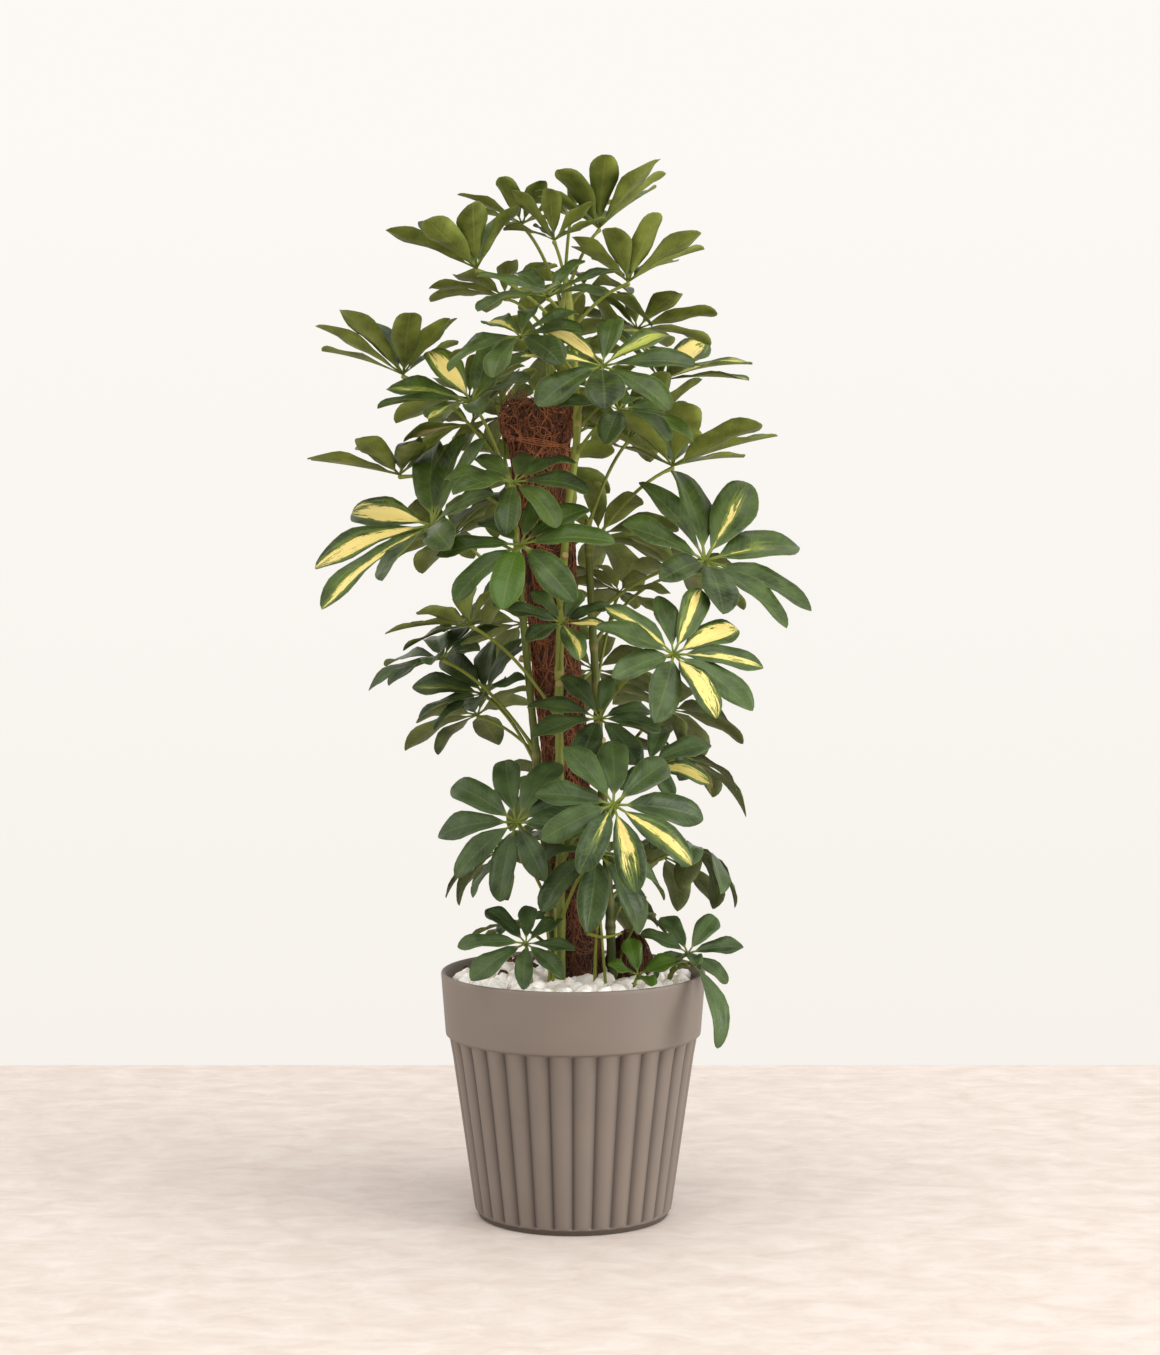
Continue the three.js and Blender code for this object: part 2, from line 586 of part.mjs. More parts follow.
const pot = makePot();
const wrap = makeWrap();
const core = poleRod(CORE_RADIUS, CORE_FOOT, CORE_TOP, 12);
const coreHole = poleRod(CORE_RADIUS + 0.8, CORE_FOOT - REST_GAP, WRAP_FOOT + 10, 12);
const wrapHole = poleRod(POLE_RADIUS * 1.06, WRAP_FOOT - REST_GAP, ABOVE_POT, 14);
const stemHoles = Object.keys(STEMS).map((name) => stemTube(name, HOLE_ROOM));
const soil = makeSoil([coreHole, wrapHole, ...stemHoles]);
const chips = makeChips([wrapHole, ...stemHoles]);

// What a new leaflet has to pass; of its own leaf only the other leaflets, past the hub.
const placed = [];
function place(owner, solid, id, beyondHub) {
  placed.push({ owner, solid, id, beyondHub, box: solid.boundingBox() });
}
place("pot", pot);
place("chips", chips);
place("wrap", wrap);
const stems = Object.fromEntries(Object.keys(STEMS).map((name) => [name, stemTube(name, 0)]));
Object.keys(STEMS).forEach((name) => place(name, stemTube(name, CLEARANCE)));

// Leaf stalks first: each takes the first bow that stays clear of the other stems and their stalks.
const leaves = [];
Object.entries(LEAVES).forEach(([owner, rows]) => rows.forEach((row) => {
  const id = leaves.length;
  const foot = pointAtHeight(stemCurves[owner], row[0]);
  const leaf = readLeaf(row, foot, 100 + id);
  const reach = leaf.hub.clone().sub(foot);
  const sideways = new THREE.Vector3(-reach.y, reach.x, 0).normalize();
  const end = leaf.hub.clone().addScaledVector(leaf.up, -HUB_HEIGHT);
  const curveFor = ([aside, above]) => {
    const bowed = foot.clone().addScaledVector(reach, 0.5);
    bowed.addScaledVector(sideways, 2 * aside * reach.length());
    bowed.z += 2 * above * reach.length();
    return new THREE.QuadraticBezierCurve3(foot, bowed, end);
  };
  const fat = PETIOLE_RADIUS + CLEARANCE;
  const fatStalk = (bow) => tube(curveFor(bow), [fat, fat], 3, STALK_STEPS);
  const bow = BOWS.find((candidate) => {
    const probe = fatStalk(candidate);
    const box = probe.boundingBox();
    const others = placed.filter((other) => other.owner !== owner && boxesMeet(box, other.box));
    return !others.some((other) => overlaps(probe, other.solid));
  });
  if (!bow) throw new Error("no clear way for the stalk of leaf " + id);
  leaves.push({ id, owner, leaf, curve: curveFor(bow) });
  place(owner, fatStalk(bow), id);
  place(owner, solidOf(new THREE.OctahedronGeometry(HUB_ROOM).translate(...leaf.hub.toArray())), id);
}));

// Then leaflet by leaflet, each with the first bend that passes everything; one that finds none is left out.
const fused = Object.fromEntries(Object.keys(STEMS).map((name) => [name, [stems[name]]]));
let dropped = 0;
leaves.forEach(({ id, owner, leaf, curve }) => {
  const kept = [];
  leaf.leaflets.forEach((leaflet) => {
    const bend = BENDS.find((candidate) => {
      const whole = leafletProbe(leaf, leaflet, candidate, NEAR_HUB);
      const outer = leafletProbe(leaf, leaflet, candidate, PAST_HUB);
      const box = whole.boundingBox();
      return !placed.filter((other) => boxesMeet(box, other.box)).some((other) => {
        if (other.id !== id) return overlaps(whole, other.solid);
        return other.beyondHub && overlaps(outer, other.beyondHub);
      });
    });
    if (!bend) {
      dropped += 1;
      return;
    }
    kept.push({ leaflet, bend });
    const beyondHub = leafletProbe(leaf, leaflet, bend, PAST_HUB);
    place(owner, leafletProbe(leaf, leaflet, bend, NEAR_HUB), id, beyondHub);
  });
  fused[owner].push(leafSolid(leaf, kept, curve));
});
if (dropped > MOST_DROPPED) throw new Error(dropped + " leaflets found no room");

const plant = new THREE.Group();
plant.add(meshOf("pot", pot, "pot"));
plant.add(meshOf("soil", soil, "soil"));
plant.add(meshOf("stone_chips", chips, "chips"));
plant.add(meshOf("coir_wrap", wrap, "coir"));
plant.add(meshOf("pole_core", core, "core"));
Object.entries(fused).forEach(([name, solids]) => plant.add(meshOf(name, joined(solids), "leaf")));

export default plant;
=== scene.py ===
# %% [markdown]
# # A potted umbrella plant
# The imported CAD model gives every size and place. This script dresses it: it grows the leaves, stems,
# coir and stones of the real plant over the plain solids, turns the ribbed pot in full detail, and paints
# all of it with procedural finishes. Everything is in metres, in the frame of the CAD model, with its
# front towards -Y.

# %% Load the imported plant
import functools
import math

import bpy
import numpy as np
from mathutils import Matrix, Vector, kdtree


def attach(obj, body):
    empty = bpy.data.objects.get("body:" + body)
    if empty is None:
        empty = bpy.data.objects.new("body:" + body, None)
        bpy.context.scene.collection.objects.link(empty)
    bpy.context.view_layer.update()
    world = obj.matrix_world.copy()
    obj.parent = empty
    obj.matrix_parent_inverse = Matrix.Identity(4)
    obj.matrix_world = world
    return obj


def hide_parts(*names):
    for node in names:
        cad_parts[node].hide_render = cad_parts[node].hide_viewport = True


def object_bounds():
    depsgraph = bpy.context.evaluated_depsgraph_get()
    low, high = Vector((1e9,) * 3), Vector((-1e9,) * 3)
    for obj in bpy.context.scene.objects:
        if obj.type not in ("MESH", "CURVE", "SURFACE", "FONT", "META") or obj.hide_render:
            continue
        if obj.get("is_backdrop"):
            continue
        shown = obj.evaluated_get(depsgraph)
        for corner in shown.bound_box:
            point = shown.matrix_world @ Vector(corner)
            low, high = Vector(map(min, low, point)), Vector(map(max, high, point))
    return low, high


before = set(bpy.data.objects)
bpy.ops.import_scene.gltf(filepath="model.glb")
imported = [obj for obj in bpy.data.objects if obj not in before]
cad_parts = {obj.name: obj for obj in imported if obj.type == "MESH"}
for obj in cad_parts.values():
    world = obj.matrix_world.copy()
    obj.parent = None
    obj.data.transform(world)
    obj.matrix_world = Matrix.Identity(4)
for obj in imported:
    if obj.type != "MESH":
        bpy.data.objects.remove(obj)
cad_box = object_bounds()
MM = 0.001
print("CAD box in mm:", [[round(v / MM) for v in corner] for corner in cad_box])

# %% [markdown]
# ## Helpers
# A node tree is a recipe, and one small function adds a step to it: the kind of node, what flows into its
# sockets, and its settings. Colours are chosen as the sRGB hex values that a painter would mix, but a
# shader works with linear light, so one function turns them.

# %% Add a node, turn a colour, start a finish
def fill(node, inputs):
    """Link what flows in, or set the value. A node given as a value stands for its first output in use."""
    for socket, value in inputs.items():
        if isinstance(value, bpy.types.Node):
            value = next(output for output in value.outputs if output.enabled)
        if isinstance(value, bpy.types.NodeSocket):
            node.id_data.links.new(value, node.inputs[socket])
        else:
            node.inputs[socket].default_value = value
    return node


def add_node(tree, kind, inputs=None, **settings):
    node = tree.nodes.new(kind)
    for setting, value in settings.items():
        setattr(node, setting, value)
    return fill(node, inputs or {})


def linear(colour):
    channels = [int(colour[i:i + 2], 16) / 255 for i in (1, 3, 5)]
    return [c / 12.92 if c <= 0.04045 else ((c + 0.055) / 1.055) ** 2.4 for c in channels] + [1.0]


def new_finish(name):
    finish = bpy.data.materials.new(name)
    finish.use_nodes = True
    tree = finish.node_tree
    return finish, functools.partial(add_node, tree), tree.nodes["Principled BSDF"]


# %% [markdown]
# Whatever repeats on this plant is grown with Geometry Nodes: a bare mesh carries the places and their
# traits, a tree turns them into shapes, and the result is kept as a plain mesh. These helpers do that for
# every piece.

# %% Start a tree, end it, and grow a piece with it
def new_tree(name, sizes):
    tree = bpy.data.node_groups.new(name, "GeometryNodeTree")
    for side in ("INPUT", "OUTPUT"):
        tree.interface.new_socket("Geometry", in_out=side, socket_type="NodeSocketGeometry")
    for label, size in sizes.items():
        kind = "NodeSocketInt" if isinstance(size, int) else "NodeSocketFloat"
        tree.interface.new_socket(label, in_out="INPUT", socket_type=kind).default_value = size
    tree.interface.new_socket("Finish", in_out="INPUT", socket_type="NodeSocketMaterial")
    return tree, functools.partial(add_node, tree), tree.nodes.new("NodeGroupInput").outputs


def end_tree(node, geometry, finish):
    real = node("GeometryNodeRealizeInstances", {0: geometry})
    painted = node("GeometryNodeSetMaterial", {"Geometry": real, "Material": finish})
    node("NodeGroupOutput", {0: painted})


def new_object(name, data):
    thing = bpy.data.objects.new(name, data)
    bpy.context.collection.objects.link(thing)
    return thing


def grow(name, base, tree, finish, **sizes):
    piece = new_object(name, base)
    modifier = piece.modifiers.new("grow", "NODES")
    modifier.node_group = tree
    given = {"Finish": finish, **{label.replace("_", " "): size for label, size in sizes.items()}}
    for item in tree.interface.items_tree:
        if item.in_out == "INPUT" and item.name in given:
            modifier[item.identifier] = given[item.name]
    graph = bpy.context.evaluated_depsgraph_get()
    grown = bpy.data.meshes.new_from_object(piece.evaluated_get(graph), depsgraph=graph)
    piece.modifiers.remove(modifier)
    piece.data = grown
    grown.name = name
    print(f"{name}: {len(grown.polygons)} faces")
    return piece


def bare_mesh(name, places, edges=(), faces=(), **traits):
    mesh = bpy.data.meshes.new(name)
    mesh.from_pydata([tuple(place) for place in places], edges, faces)
    for trait, values in traits.items():
        numbers = np.asarray(values, dtype=np.float32)
        is_vector = numbers.ndim == 2
        layer = mesh.attributes.new(trait, "FLOAT_VECTOR" if is_vector else "FLOAT", "POINT")
        layer.data.foreach_set("vector" if is_vector else "value", numbers.ravel())
    return mesh


def place_piece(piece, slot, *nodes):
    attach(piece, "root")
    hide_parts(*nodes)


def seeded_random(seed):
    """Numbers from 0 to 1, the same on each run. The CAD model draws its own in this way."""
    state = seed
    while True:
        state = (state * 1664525 + 1013904223) % 2 ** 32
        yield state / 2 ** 32


# %% [markdown]
# ## Camera, floor and light
# The photograph was taken from a little above the pole's middle with a long lens, so the pot's rim shows
# as a flat ellipse. The camera stands 3.2 m in front of the plant. The floor is pale stone-coloured board
# that ends where the photograph's wall begins, and the wall is the even light of the world behind it.

# %% The camera at the photograph's angle
PHOTO_SIZE = (1160, 1355)
FOCAL_PIXELS = 2844.4
CAMERA_PLACE = (7.6, -3204.8, 804.2)
CAMERA_TILT = 0.06
camera = new_object("camera", bpy.data.cameras.new("camera"))
camera.location = [v * MM for v in CAMERA_PLACE]
camera.rotation_euler = (math.pi / 2 - CAMERA_TILT, 0, 0)
camera.data.lens = camera.data.sensor_width * FOCAL_PIXELS / max(PHOTO_SIZE)
bpy.context.scene.camera = camera
print(f"lens {camera.data.lens:.2f} mm")

# %% A pale floor with a faint mottle
floor_finish, node, shader = new_finish("pale floor board")
where = node("ShaderNodeTexCoord").outputs["Object"]
stretched = node("ShaderNodeMapping", {"Vector": where, "Scale": (0.8, 1.3, 1.0)})
mottle = node("ShaderNodeTexNoise", {"Vector": stretched, "Scale": 20, "Detail": 9, "Roughness": 0.7,
                                     "Distortion": 0.5})
spread = node("ShaderNodeMapRange", {"Value": mottle, "From Min": 0.3, "From Max": 0.68})
tint = node("ShaderNodeMix", {0: spread, 6: linear("#BFB0A7"), 7: linear("#D1C7BF")}, data_type="RGBA")
fill(shader, {"Base Color": tint, "Roughness": 0.7})
WALL_DISTANCE = 0.858
floor_mesh = bare_mesh("floor", [(-6, -7, 0), (6, -7, 0), (6, WALL_DISTANCE, 0), (-6, WALL_DISTANCE, 0)],
                       faces=[(0, 1, 2, 3)])
floor_mesh.materials.append(floor_finish)
floor = new_object("floor", floor_mesh)
floor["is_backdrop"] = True

# %% Soft studio light
bpy.context.scene.view_settings.view_transform = "Standard"
world = bpy.data.worlds.new("studio")
world.use_nodes = True
backdrop = world.node_tree.nodes["Background"]
node = functools.partial(add_node, world.node_tree)
direction = node("ShaderNodeTexCoord").outputs["Generated"]
split = node("ShaderNodeSeparateXYZ", {0: direction})
height = node("ShaderNodeMapRange", {"Value": split.outputs[2], "From Min": -0.18, "From Max": 0.12})
wall = node("ShaderNodeMix", {0: height, 6: linear("#F7F2EC"), 7: linear("#FCF9F5")}, data_type="RGBA")
fill(backdrop, {"Color": wall, "Strength": 1.0})
bpy.context.scene.world = world


def soft_box(name, place, aim, size, watts):
    lamp = new_object(name, bpy.data.lights.new(name, "AREA"))
    lamp.data.size = size
    lamp.data.energy = watts
    lamp.location = place
    lamp.rotation_euler = (Vector(aim) - Vector(place)).to_track_quat("-Z", "Y").to_euler()


soft_box("top light", (0.5, -1.1, 4.4), (0, 0, 0.5), 3.6, 116)
soft_box("right light", (5.4, -2.5, 1.8), (0, 0, 0.4), 3.4, 285)
soft_box("left light", (-5.2, -2.4, 1.9), (0, 0, 0.4), 3.6, 100)

# %% [markdown]
# ## The pot
# The real pot is injection-moulded polypropylene with a plain collar and 32 rounded ribs that widen
# upwards. Its wall is turned here as one closed profile, then a small Geometry Nodes tree presses the
# grooves between the ribs, because each groove is the same rule at another angle. Only the outer face
# gets them: it is what lies outside a slanting line through the wall.

# %% Turn a profile about the vertical axis
def turned(name, profile, segments):
    places = []
    for radius, height in profile:
        for k in range(segments):
            turn = 2 * math.pi * k / segments
            places.append((radius * math.cos(turn) * MM, radius * math.sin(turn) * MM, height * MM))
    faces = []
    for row in range(len(profile) - 1):
        for k in range(segments):
            low = row * segments
            high = low + segments
            after = (k + 1) % segments
            faces.append((low + k, low + after, high + after, high + k))
    first_row = list(range(segments))
    last_row = [(len(profile) - 1) * segments + k for k in range(segments)]
    faces += [tuple(reversed(first_row)), tuple(last_row)]
    return bare_mesh(name, places, faces=faces)


RIB_COUNT = 32
POINTS_PER_RIB = 12
POT_PROFILE = [
    (60, 1.2), (102, 1.2), (103.5, 0), (106.6, 0), (108, 1.2), (108.3, 5.6), (110.4, 6.2), (111.6, 7.4),
    (112.2, 10), (113, 14), (117, 42.5), (121, 71), (125, 99.5), (129, 128), (133, 156), (137, 184),
    (140.6, 204), (141, 207.2), (143.2, 207.4), (144.6, 208.2), (145, 210.5), (146.2, 226), (147.5, 243),
    (148.8, 260), (149.8, 273.5), (150, 276.2), (149.7, 277.9), (148.8, 278.8), (147.6, 279), (146.2, 278.6),
    (145.1, 277.4), (144.4, 275), (141.7, 255), (139, 240), (102.5, 6), (60, 6),
]

# %% Press the grooves between the ribs
FOOT_RADIUS = 0.106
WALL_START = 0.1085
WALL_SLOPE = 0.142
rib_tree, node, given = new_tree("Pot ribs", {
    "Rib count": RIB_COUNT, "Rib depth": 0.0045, "Ribs from": 0.0062, "Ribs to": 0.207,
})
place = node("GeometryNodeInputPosition")
split = node("ShaderNodeSeparateXYZ", {0: place})
flat = node("ShaderNodeCombineXYZ", {0: split.outputs[0], 1: split.outputs[1]})
outward = node("ShaderNodeVectorMath", {0: flat}, operation="NORMALIZE")
turn = node("ShaderNodeMath", {0: split.outputs[0], 1: split.outputs[1]}, operation="ARCTAN2")
half_turns = node("ShaderNodeMath", {0: turn, 1: given["Rib count"]}, operation="MULTIPLY")
angle = node("ShaderNodeMath", {0: half_turns, 1: 0.5}, operation="MULTIPLY")
wave = node("ShaderNodeMath", {0: angle}, operation="SINE")
across = node("ShaderNodeMath", {0: wave}, operation="ABSOLUTE")
rounded = node("ShaderNodeMath", {0: across, 1: 0.85}, operation="POWER")
groove = node("ShaderNodeMath", {0: 1.0, 1: rounded}, operation="SUBTRACT")
depth = node("ShaderNodeMath", {0: groove, 1: given["Rib depth"]}, operation="MULTIPLY")
inward = node("ShaderNodeMath", {0: depth, 1: -1.0}, operation="MULTIPLY")
press = node("ShaderNodeVectorMath", {0: outward, "Scale": inward}, operation="SCALE")
above = node("ShaderNodeMath", {0: split.outputs[2], 1: given["Ribs from"]}, operation="GREATER_THAN")
below = node("ShaderNodeMath", {0: split.outputs[2], 1: given["Ribs to"]}, operation="LESS_THAN")
reach = node("ShaderNodeVectorMath", {0: flat}, operation="LENGTH")
outside = node("ShaderNodeMath", {0: reach, 1: FOOT_RADIUS}, operation="GREATER_THAN")
slope = node("ShaderNodeMath", {0: split.outputs[2], 1: WALL_SLOPE, 2: WALL_START},
             operation="MULTIPLY_ADD")
outer_face = node("ShaderNodeMath", {0: reach, 1: slope}, operation="GREATER_THAN")
in_band = node("ShaderNodeMath", {0: above, 1: below}, operation="MULTIPLY")
on_wall = node("ShaderNodeMath", {0: outside, 1: outer_face}, operation="MULTIPLY")
chosen = node("ShaderNodeMath", {0: in_band, 1: on_wall}, operation="MULTIPLY")
grooved = node("ShaderNodeMath", {0: groove, 1: chosen}, operation="MULTIPLY")
marked = node("GeometryNodeStoreNamedAttribute", {"Geometry": given["Geometry"], "Name": "groove",
                                                  "Value": grooved}, data_type="FLOAT", domain="POINT")
pressed = node("GeometryNodeSetPosition", {"Geometry": marked, "Selection": chosen, "Offset": press})
smooth = node("GeometryNodeSetShadeSmooth", {0: pressed})
end_tree(node, smooth, given["Finish"])

# %% [markdown]
# Matte polypropylene in warm taupe: the colour is in the plastic, so it is almost even. A fine texture
# from the mould keeps the shine soft, dust makes it slightly paler here and there, and shade is painted
# darker on the foot and in the grooves, where the rib tree left its mark.

# %% Moulded polypropylene
pot_finish, node, shader = new_finish("moulded polypropylene, taupe")
where = node("ShaderNodeTexCoord").outputs["Object"]
clouds = node("ShaderNodeTexNoise", {"Vector": where, "Scale": 14, "Detail": 4})
tint = node("ShaderNodeMix", {0: clouds, 6: linear("#6D625A"), 7: linear("#7B6F65")}, data_type="RGBA")
# painted shade: the grooves and the foot are darkened towards #2E2620 for the shade between the ribs and
# under the pot
groove = node("ShaderNodeAttribute", attribute_name="groove").outputs["Fac"]
deep = node("ShaderNodeMath", {0: groove, 1: 2.4}, operation="POWER")
deepest = node("ShaderNodeMath", {0: deep, 1: 0.55}, operation="MULTIPLY")
painted_groove_shade = node("ShaderNodeMath", {0: groove, 1: 0.3, 2: deepest}, operation="MULTIPLY_ADD")
split = node("ShaderNodeSeparateXYZ", {0: where})
foot = node("ShaderNodeMapRange", {"Value": split.outputs[2], "From Min": 0.008, "From Max": 0.004,
                                   "To Max": 0.6})
painted_shade_mask = node("ShaderNodeMath", {0: painted_groove_shade, 1: foot}, operation="MAXIMUM")
painted_shade_tint = node("ShaderNodeMix", {0: painted_shade_mask, 6: tint, 7: linear("#2E2620")}, data_type="RGBA")
grain = node("ShaderNodeTexNoise", {"Vector": where, "Scale": 900, "Detail": 2})
relief = node("ShaderNodeBump", {"Height": grain, "Strength": 0.12, "Distance": 0.2 * MM})
soft_shine = node("ShaderNodeMapRange", {"Value": clouds, "To Min": 0.5, "To Max": 0.62})
fill(shader, {"Base Color": painted_shade_tint, "Normal": relief, "Roughness": soft_shine, "IOR": 1.49})

pot = grow("pot_shell", turned("pot", POT_PROFILE, RIB_COUNT * POINTS_PER_RIB), rib_tree, pot_finish)
place_piece(pot, "pot", "pot")

# %% [markdown]
# ## Soil
# The soil keeps its CAD solid. It is peat compost: dark brown, crumbly and matt, with paler bits of bark.

# %% Peat compost on the CAD node
soil_finish, node, shader = new_finish("peat compost")
where = node("ShaderNodeTexCoord").outputs["Object"]
crumbs = node("ShaderNodeTexVoronoi", {"Vector": where, "Scale": 260})
clods = node("ShaderNodeTexNoise", {"Vector": where, "Scale": 70, "Detail": 8})
tint = node("ShaderNodeMix", {0: clods, 6: linear("#1E130C"), 7: linear("#5A3B27")}, data_type="RGBA")
relief = node("ShaderNodeBump", {"Height": crumbs, "Strength": 0.8, "Distance": 2 * MM})
fill(shader, {"Base Color": tint, "Normal": relief, "Roughness": 0.95})


def repaint(node_name, finish):
    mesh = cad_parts[node_name].data
    mesh.materials.clear()
    mesh.materials.append(finish)


repaint("soil", soil_finish)

# %% [markdown]
# ## White stone chips
# The top layer is tumbled white marble of 12 to 25 mm. Stones lie where there is room for them, which is
# what a Poisson scatter gives: points that never come closer than a small stone's width. Two layers are
# scattered on a mounded disc, each point gets a ball of 80 faces with its own three sizes and turn, and
# noise knocks the balls out of round.

# %% Scatter and shape the stones
stone_tree, node, given = new_tree("Stone chips", {
    "Spacing": 0.0158, "Smallest": 0.0060, "Largest": 0.0124, "Knocked": 0.0062, "Layer": 0.0056, "Seed": 5,
})
layers = []
for level in (0, 1):
    seed = node("FunctionNodeIntegerMath", {0: given["Seed"], 1: 7 * level})
    spots = node("GeometryNodeDistributePointsOnFaces",
                 {"Mesh": given["Geometry"], "Distance Min": given["Spacing"], "Density Max": 9000.0,
                  "Seed": seed}, distribute_method="POISSON")
    height = node("ShaderNodeMath", {0: given["Layer"], 1: float(level)}, operation="MULTIPLY")
    raised = node("ShaderNodeCombineXYZ", {2: height})
    layer = node("GeometryNodeSetPosition", {"Geometry": spots, "Offset": raised})
    layers.append(layer)
both = node("GeometryNodeJoinGeometry", {0: layers[0]})
fill(both, {0: layers[1]})
ball = node("GeometryNodeMeshIcoSphere", {"Radius": 1.0, "Subdivisions": 2})
low = node("ShaderNodeCombineXYZ", {0: given["Smallest"], 1: given["Smallest"], 2: given["Smallest"]})
high = node("ShaderNodeCombineXYZ", {0: given["Largest"], 1: given["Largest"], 2: given["Largest"]})
sizes = node("FunctionNodeRandomValue", {0: low, 1: high, 8: given["Seed"]}, data_type="FLOAT_VECTOR")
turns = node("FunctionNodeRandomValue", {1: (6.28, 6.28, 6.28), 8: 3}, data_type="FLOAT_VECTOR")
shade = node("FunctionNodeRandomValue", {8: 9}, data_type="FLOAT")
stones = node("GeometryNodeInstanceOnPoints", {"Points": both, "Instance": ball, "Rotation": turns,
                                               "Scale": sizes})
marked = node("GeometryNodeStoreNamedAttribute", {"Geometry": stones, "Name": "shade", "Value": shade},
              data_type="FLOAT", domain="INSTANCE")
real = node("GeometryNodeRealizeInstances", {0: marked})
lumps = node("ShaderNodeTexNoise", {"Scale": 75.0, "Detail": 1.0})
push = node("ShaderNodeMath", {0: lumps, 1: 0.5}, operation="SUBTRACT")
knock = node("ShaderNodeMath", {0: push, 1: given["Knocked"]}, operation="MULTIPLY")
stronger = node("ShaderNodeMath", {0: knock, 1: 3.0}, operation="MULTIPLY")
facing = node("GeometryNodeInputNormal")
move = node("ShaderNodeVectorMath", {0: facing, "Scale": stronger}, operation="SCALE")
knocked = node("GeometryNodeSetPosition", {"Geometry": real, "Offset": move})
smooth = node("GeometryNodeSetShadeSmooth", {0: knocked})
end_tree(node, smooth, given["Finish"])

# %% [markdown]
# White marble: nearly white, a little warm, with faint grey veining, and dull from tumbling. A faint
# painted glow keeps the shade between the stones from turning black.

# %% Tumbled white marble
stone_finish, node, shader = new_finish("tumbled white marble")
where = node("ShaderNodeTexCoord").outputs["Object"]
veining = node("ShaderNodeTexNoise", {"Vector": where, "Scale": 60, "Detail": 6, "Distortion": 1.2})
shade = node("ShaderNodeAttribute", attribute_name="shade").outputs["Fac"]
mixed = node("ShaderNodeMath", {0: veining, 1: shade}, operation="MULTIPLY")
tint = node("ShaderNodeMix", {0: mixed, 6: linear("#FFFEFA"), 7: linear("#F0E8DE")}, data_type="RGBA")
relief = node("ShaderNodeBump", {"Height": veining, "Strength": 0.35, "Distance": 1 * MM})
# painted glow: a faint warm emission lightens the stones where they lie in shade
fill(shader, {"Base Color": tint, "Normal": relief, "Roughness": 0.62, "IOR": 1.5,
              "Emission Color": linear("#FFE9D6"), "Emission Strength": 0.09})

# %% Lay the stones on the soil
SOIL_TOP = 254
STONE_BED_RADIUS = 133
STONE_MOUND = 4
STONE_BED_DEPTH = 6.5
BED_RINGS = 8
BED_POINTS = 48
rings = [(0.02, SOIL_TOP + STONE_BED_DEPTH + STONE_MOUND)]
for step in range(1, BED_RINGS + 1):
    share = step / BED_RINGS
    rings.append((STONE_BED_RADIUS * share, SOIL_TOP + STONE_BED_DEPTH + STONE_MOUND * (1 - share)))
bed_places = []
bed_faces = []
for radius, height in rings:
    for k in range(BED_POINTS):
        turn = 2 * math.pi * k / BED_POINTS
        bed_places.append((radius * math.cos(turn) * MM, radius * math.sin(turn) * MM, height * MM))
for row in range(BED_RINGS):
    inner = row * BED_POINTS
    outer = inner + BED_POINTS
    for k in range(BED_POINTS):
        after = (k + 1) % BED_POINTS
        bed_faces.append((inner + k, outer + k, outer + after, inner + after))
stones = grow("stone_layer", bare_mesh("bed", bed_places, faces=bed_faces), stone_tree, stone_finish)
place_piece(stones, "chips", "stone_chips")

# %% [markdown]
# ## Tubes along lines
# Stems, leaf stalks and loose fibres are all round things that follow a path. They are drawn as plain
# polylines whose points carry a radius, and one Geometry Nodes tree puts the skin round them. Where a
# point also carries a knob size, it gets a small ball, such as the knob that the leaflets spring from.

# %% Skin for polylines
skin_tree, node, given = new_tree("Skin for lines", {"Sides": 8, "Knob subdivisions": 2})
thick = node("GeometryNodeInputNamedAttribute", {"Name": "thick"}, data_type="FLOAT")
knob = node("GeometryNodeInputNamedAttribute", {"Name": "knob"}, data_type="FLOAT")
is_knob = node("ShaderNodeMath", {0: knob, 1: 0.0}, operation="GREATER_THAN")
curves = node("GeometryNodeMeshToCurve", {0: given["Geometry"]})
ring = node("GeometryNodeCurvePrimitiveCircle", {0: given["Sides"], 4: 1.0})
tubes = node("GeometryNodeCurveToMesh", {"Curve": curves, "Profile Curve": ring, "Scale": thick,
                                         "Fill Caps": True})
ball = node("GeometryNodeMeshIcoSphere", {"Radius": 1.0, "Subdivisions": given["Knob subdivisions"]})
spots = node("GeometryNodeMeshToPoints", {"Mesh": given["Geometry"], "Selection": is_knob})
knobs = node("GeometryNodeInstanceOnPoints", {"Points": spots, "Instance": ball, "Scale": knob})
real_knobs = node("GeometryNodeRealizeInstances", {0: knobs})
both = node("GeometryNodeJoinGeometry", {0: tubes})
fill(both, {0: real_knobs})
smooth = node("GeometryNodeSetShadeSmooth", {0: both})
end_tree(node, smooth, given["Finish"])

# %% [markdown]
# ## The coir pole
# The climbing pole is a stake wrapped in coconut fibre. It swells a little towards its top and ends above
# a waist in a tangled crown. The wrap itself is a lumpy dark body that follows the CAD solid's rule. Its
# fibres are of two kinds, because that is what the eye sees: short strands that cross each other at a
# slant, and loops, which crowd at the crown. Both are scattered over the body, bent by noise, and laid
# back on it by finding the nearest point of its surface.

# %% The body of the wrap
POLE_BASE = (10, 265)
POLE_TOP = (-42, 925)
WRAP_ROWS = [
    (26, 150), (26, 262), (27, 390), (26, 520), (28, 660), (31, 780), (33, 830), (34, 872), (40, 892),
    (41, 908), (35, 923),
]
WRAP_CAP = [(38, 910), (35, 915), (28, 918), (12, 919)]
WRAP_SEGMENTS = 56
POLE_LEAN = (POLE_TOP[0] - POLE_BASE[0]) / (POLE_TOP[1] - POLE_BASE[1])


def wrap_radius(height):
    return float(np.interp(height, [z for _, z in WRAP_ROWS], [r for r, _ in WRAP_ROWS]))


def wrap_swell(turn, height):
    large = 1 + 0.03 * (math.sin(3 * turn + height / 37) + 0.6 * math.sin(5 * turn - height / 23))
    return large + 0.012 * math.sin(11 * turn + height / 9) + 0.01 * math.sin(7 * turn - height / 6)


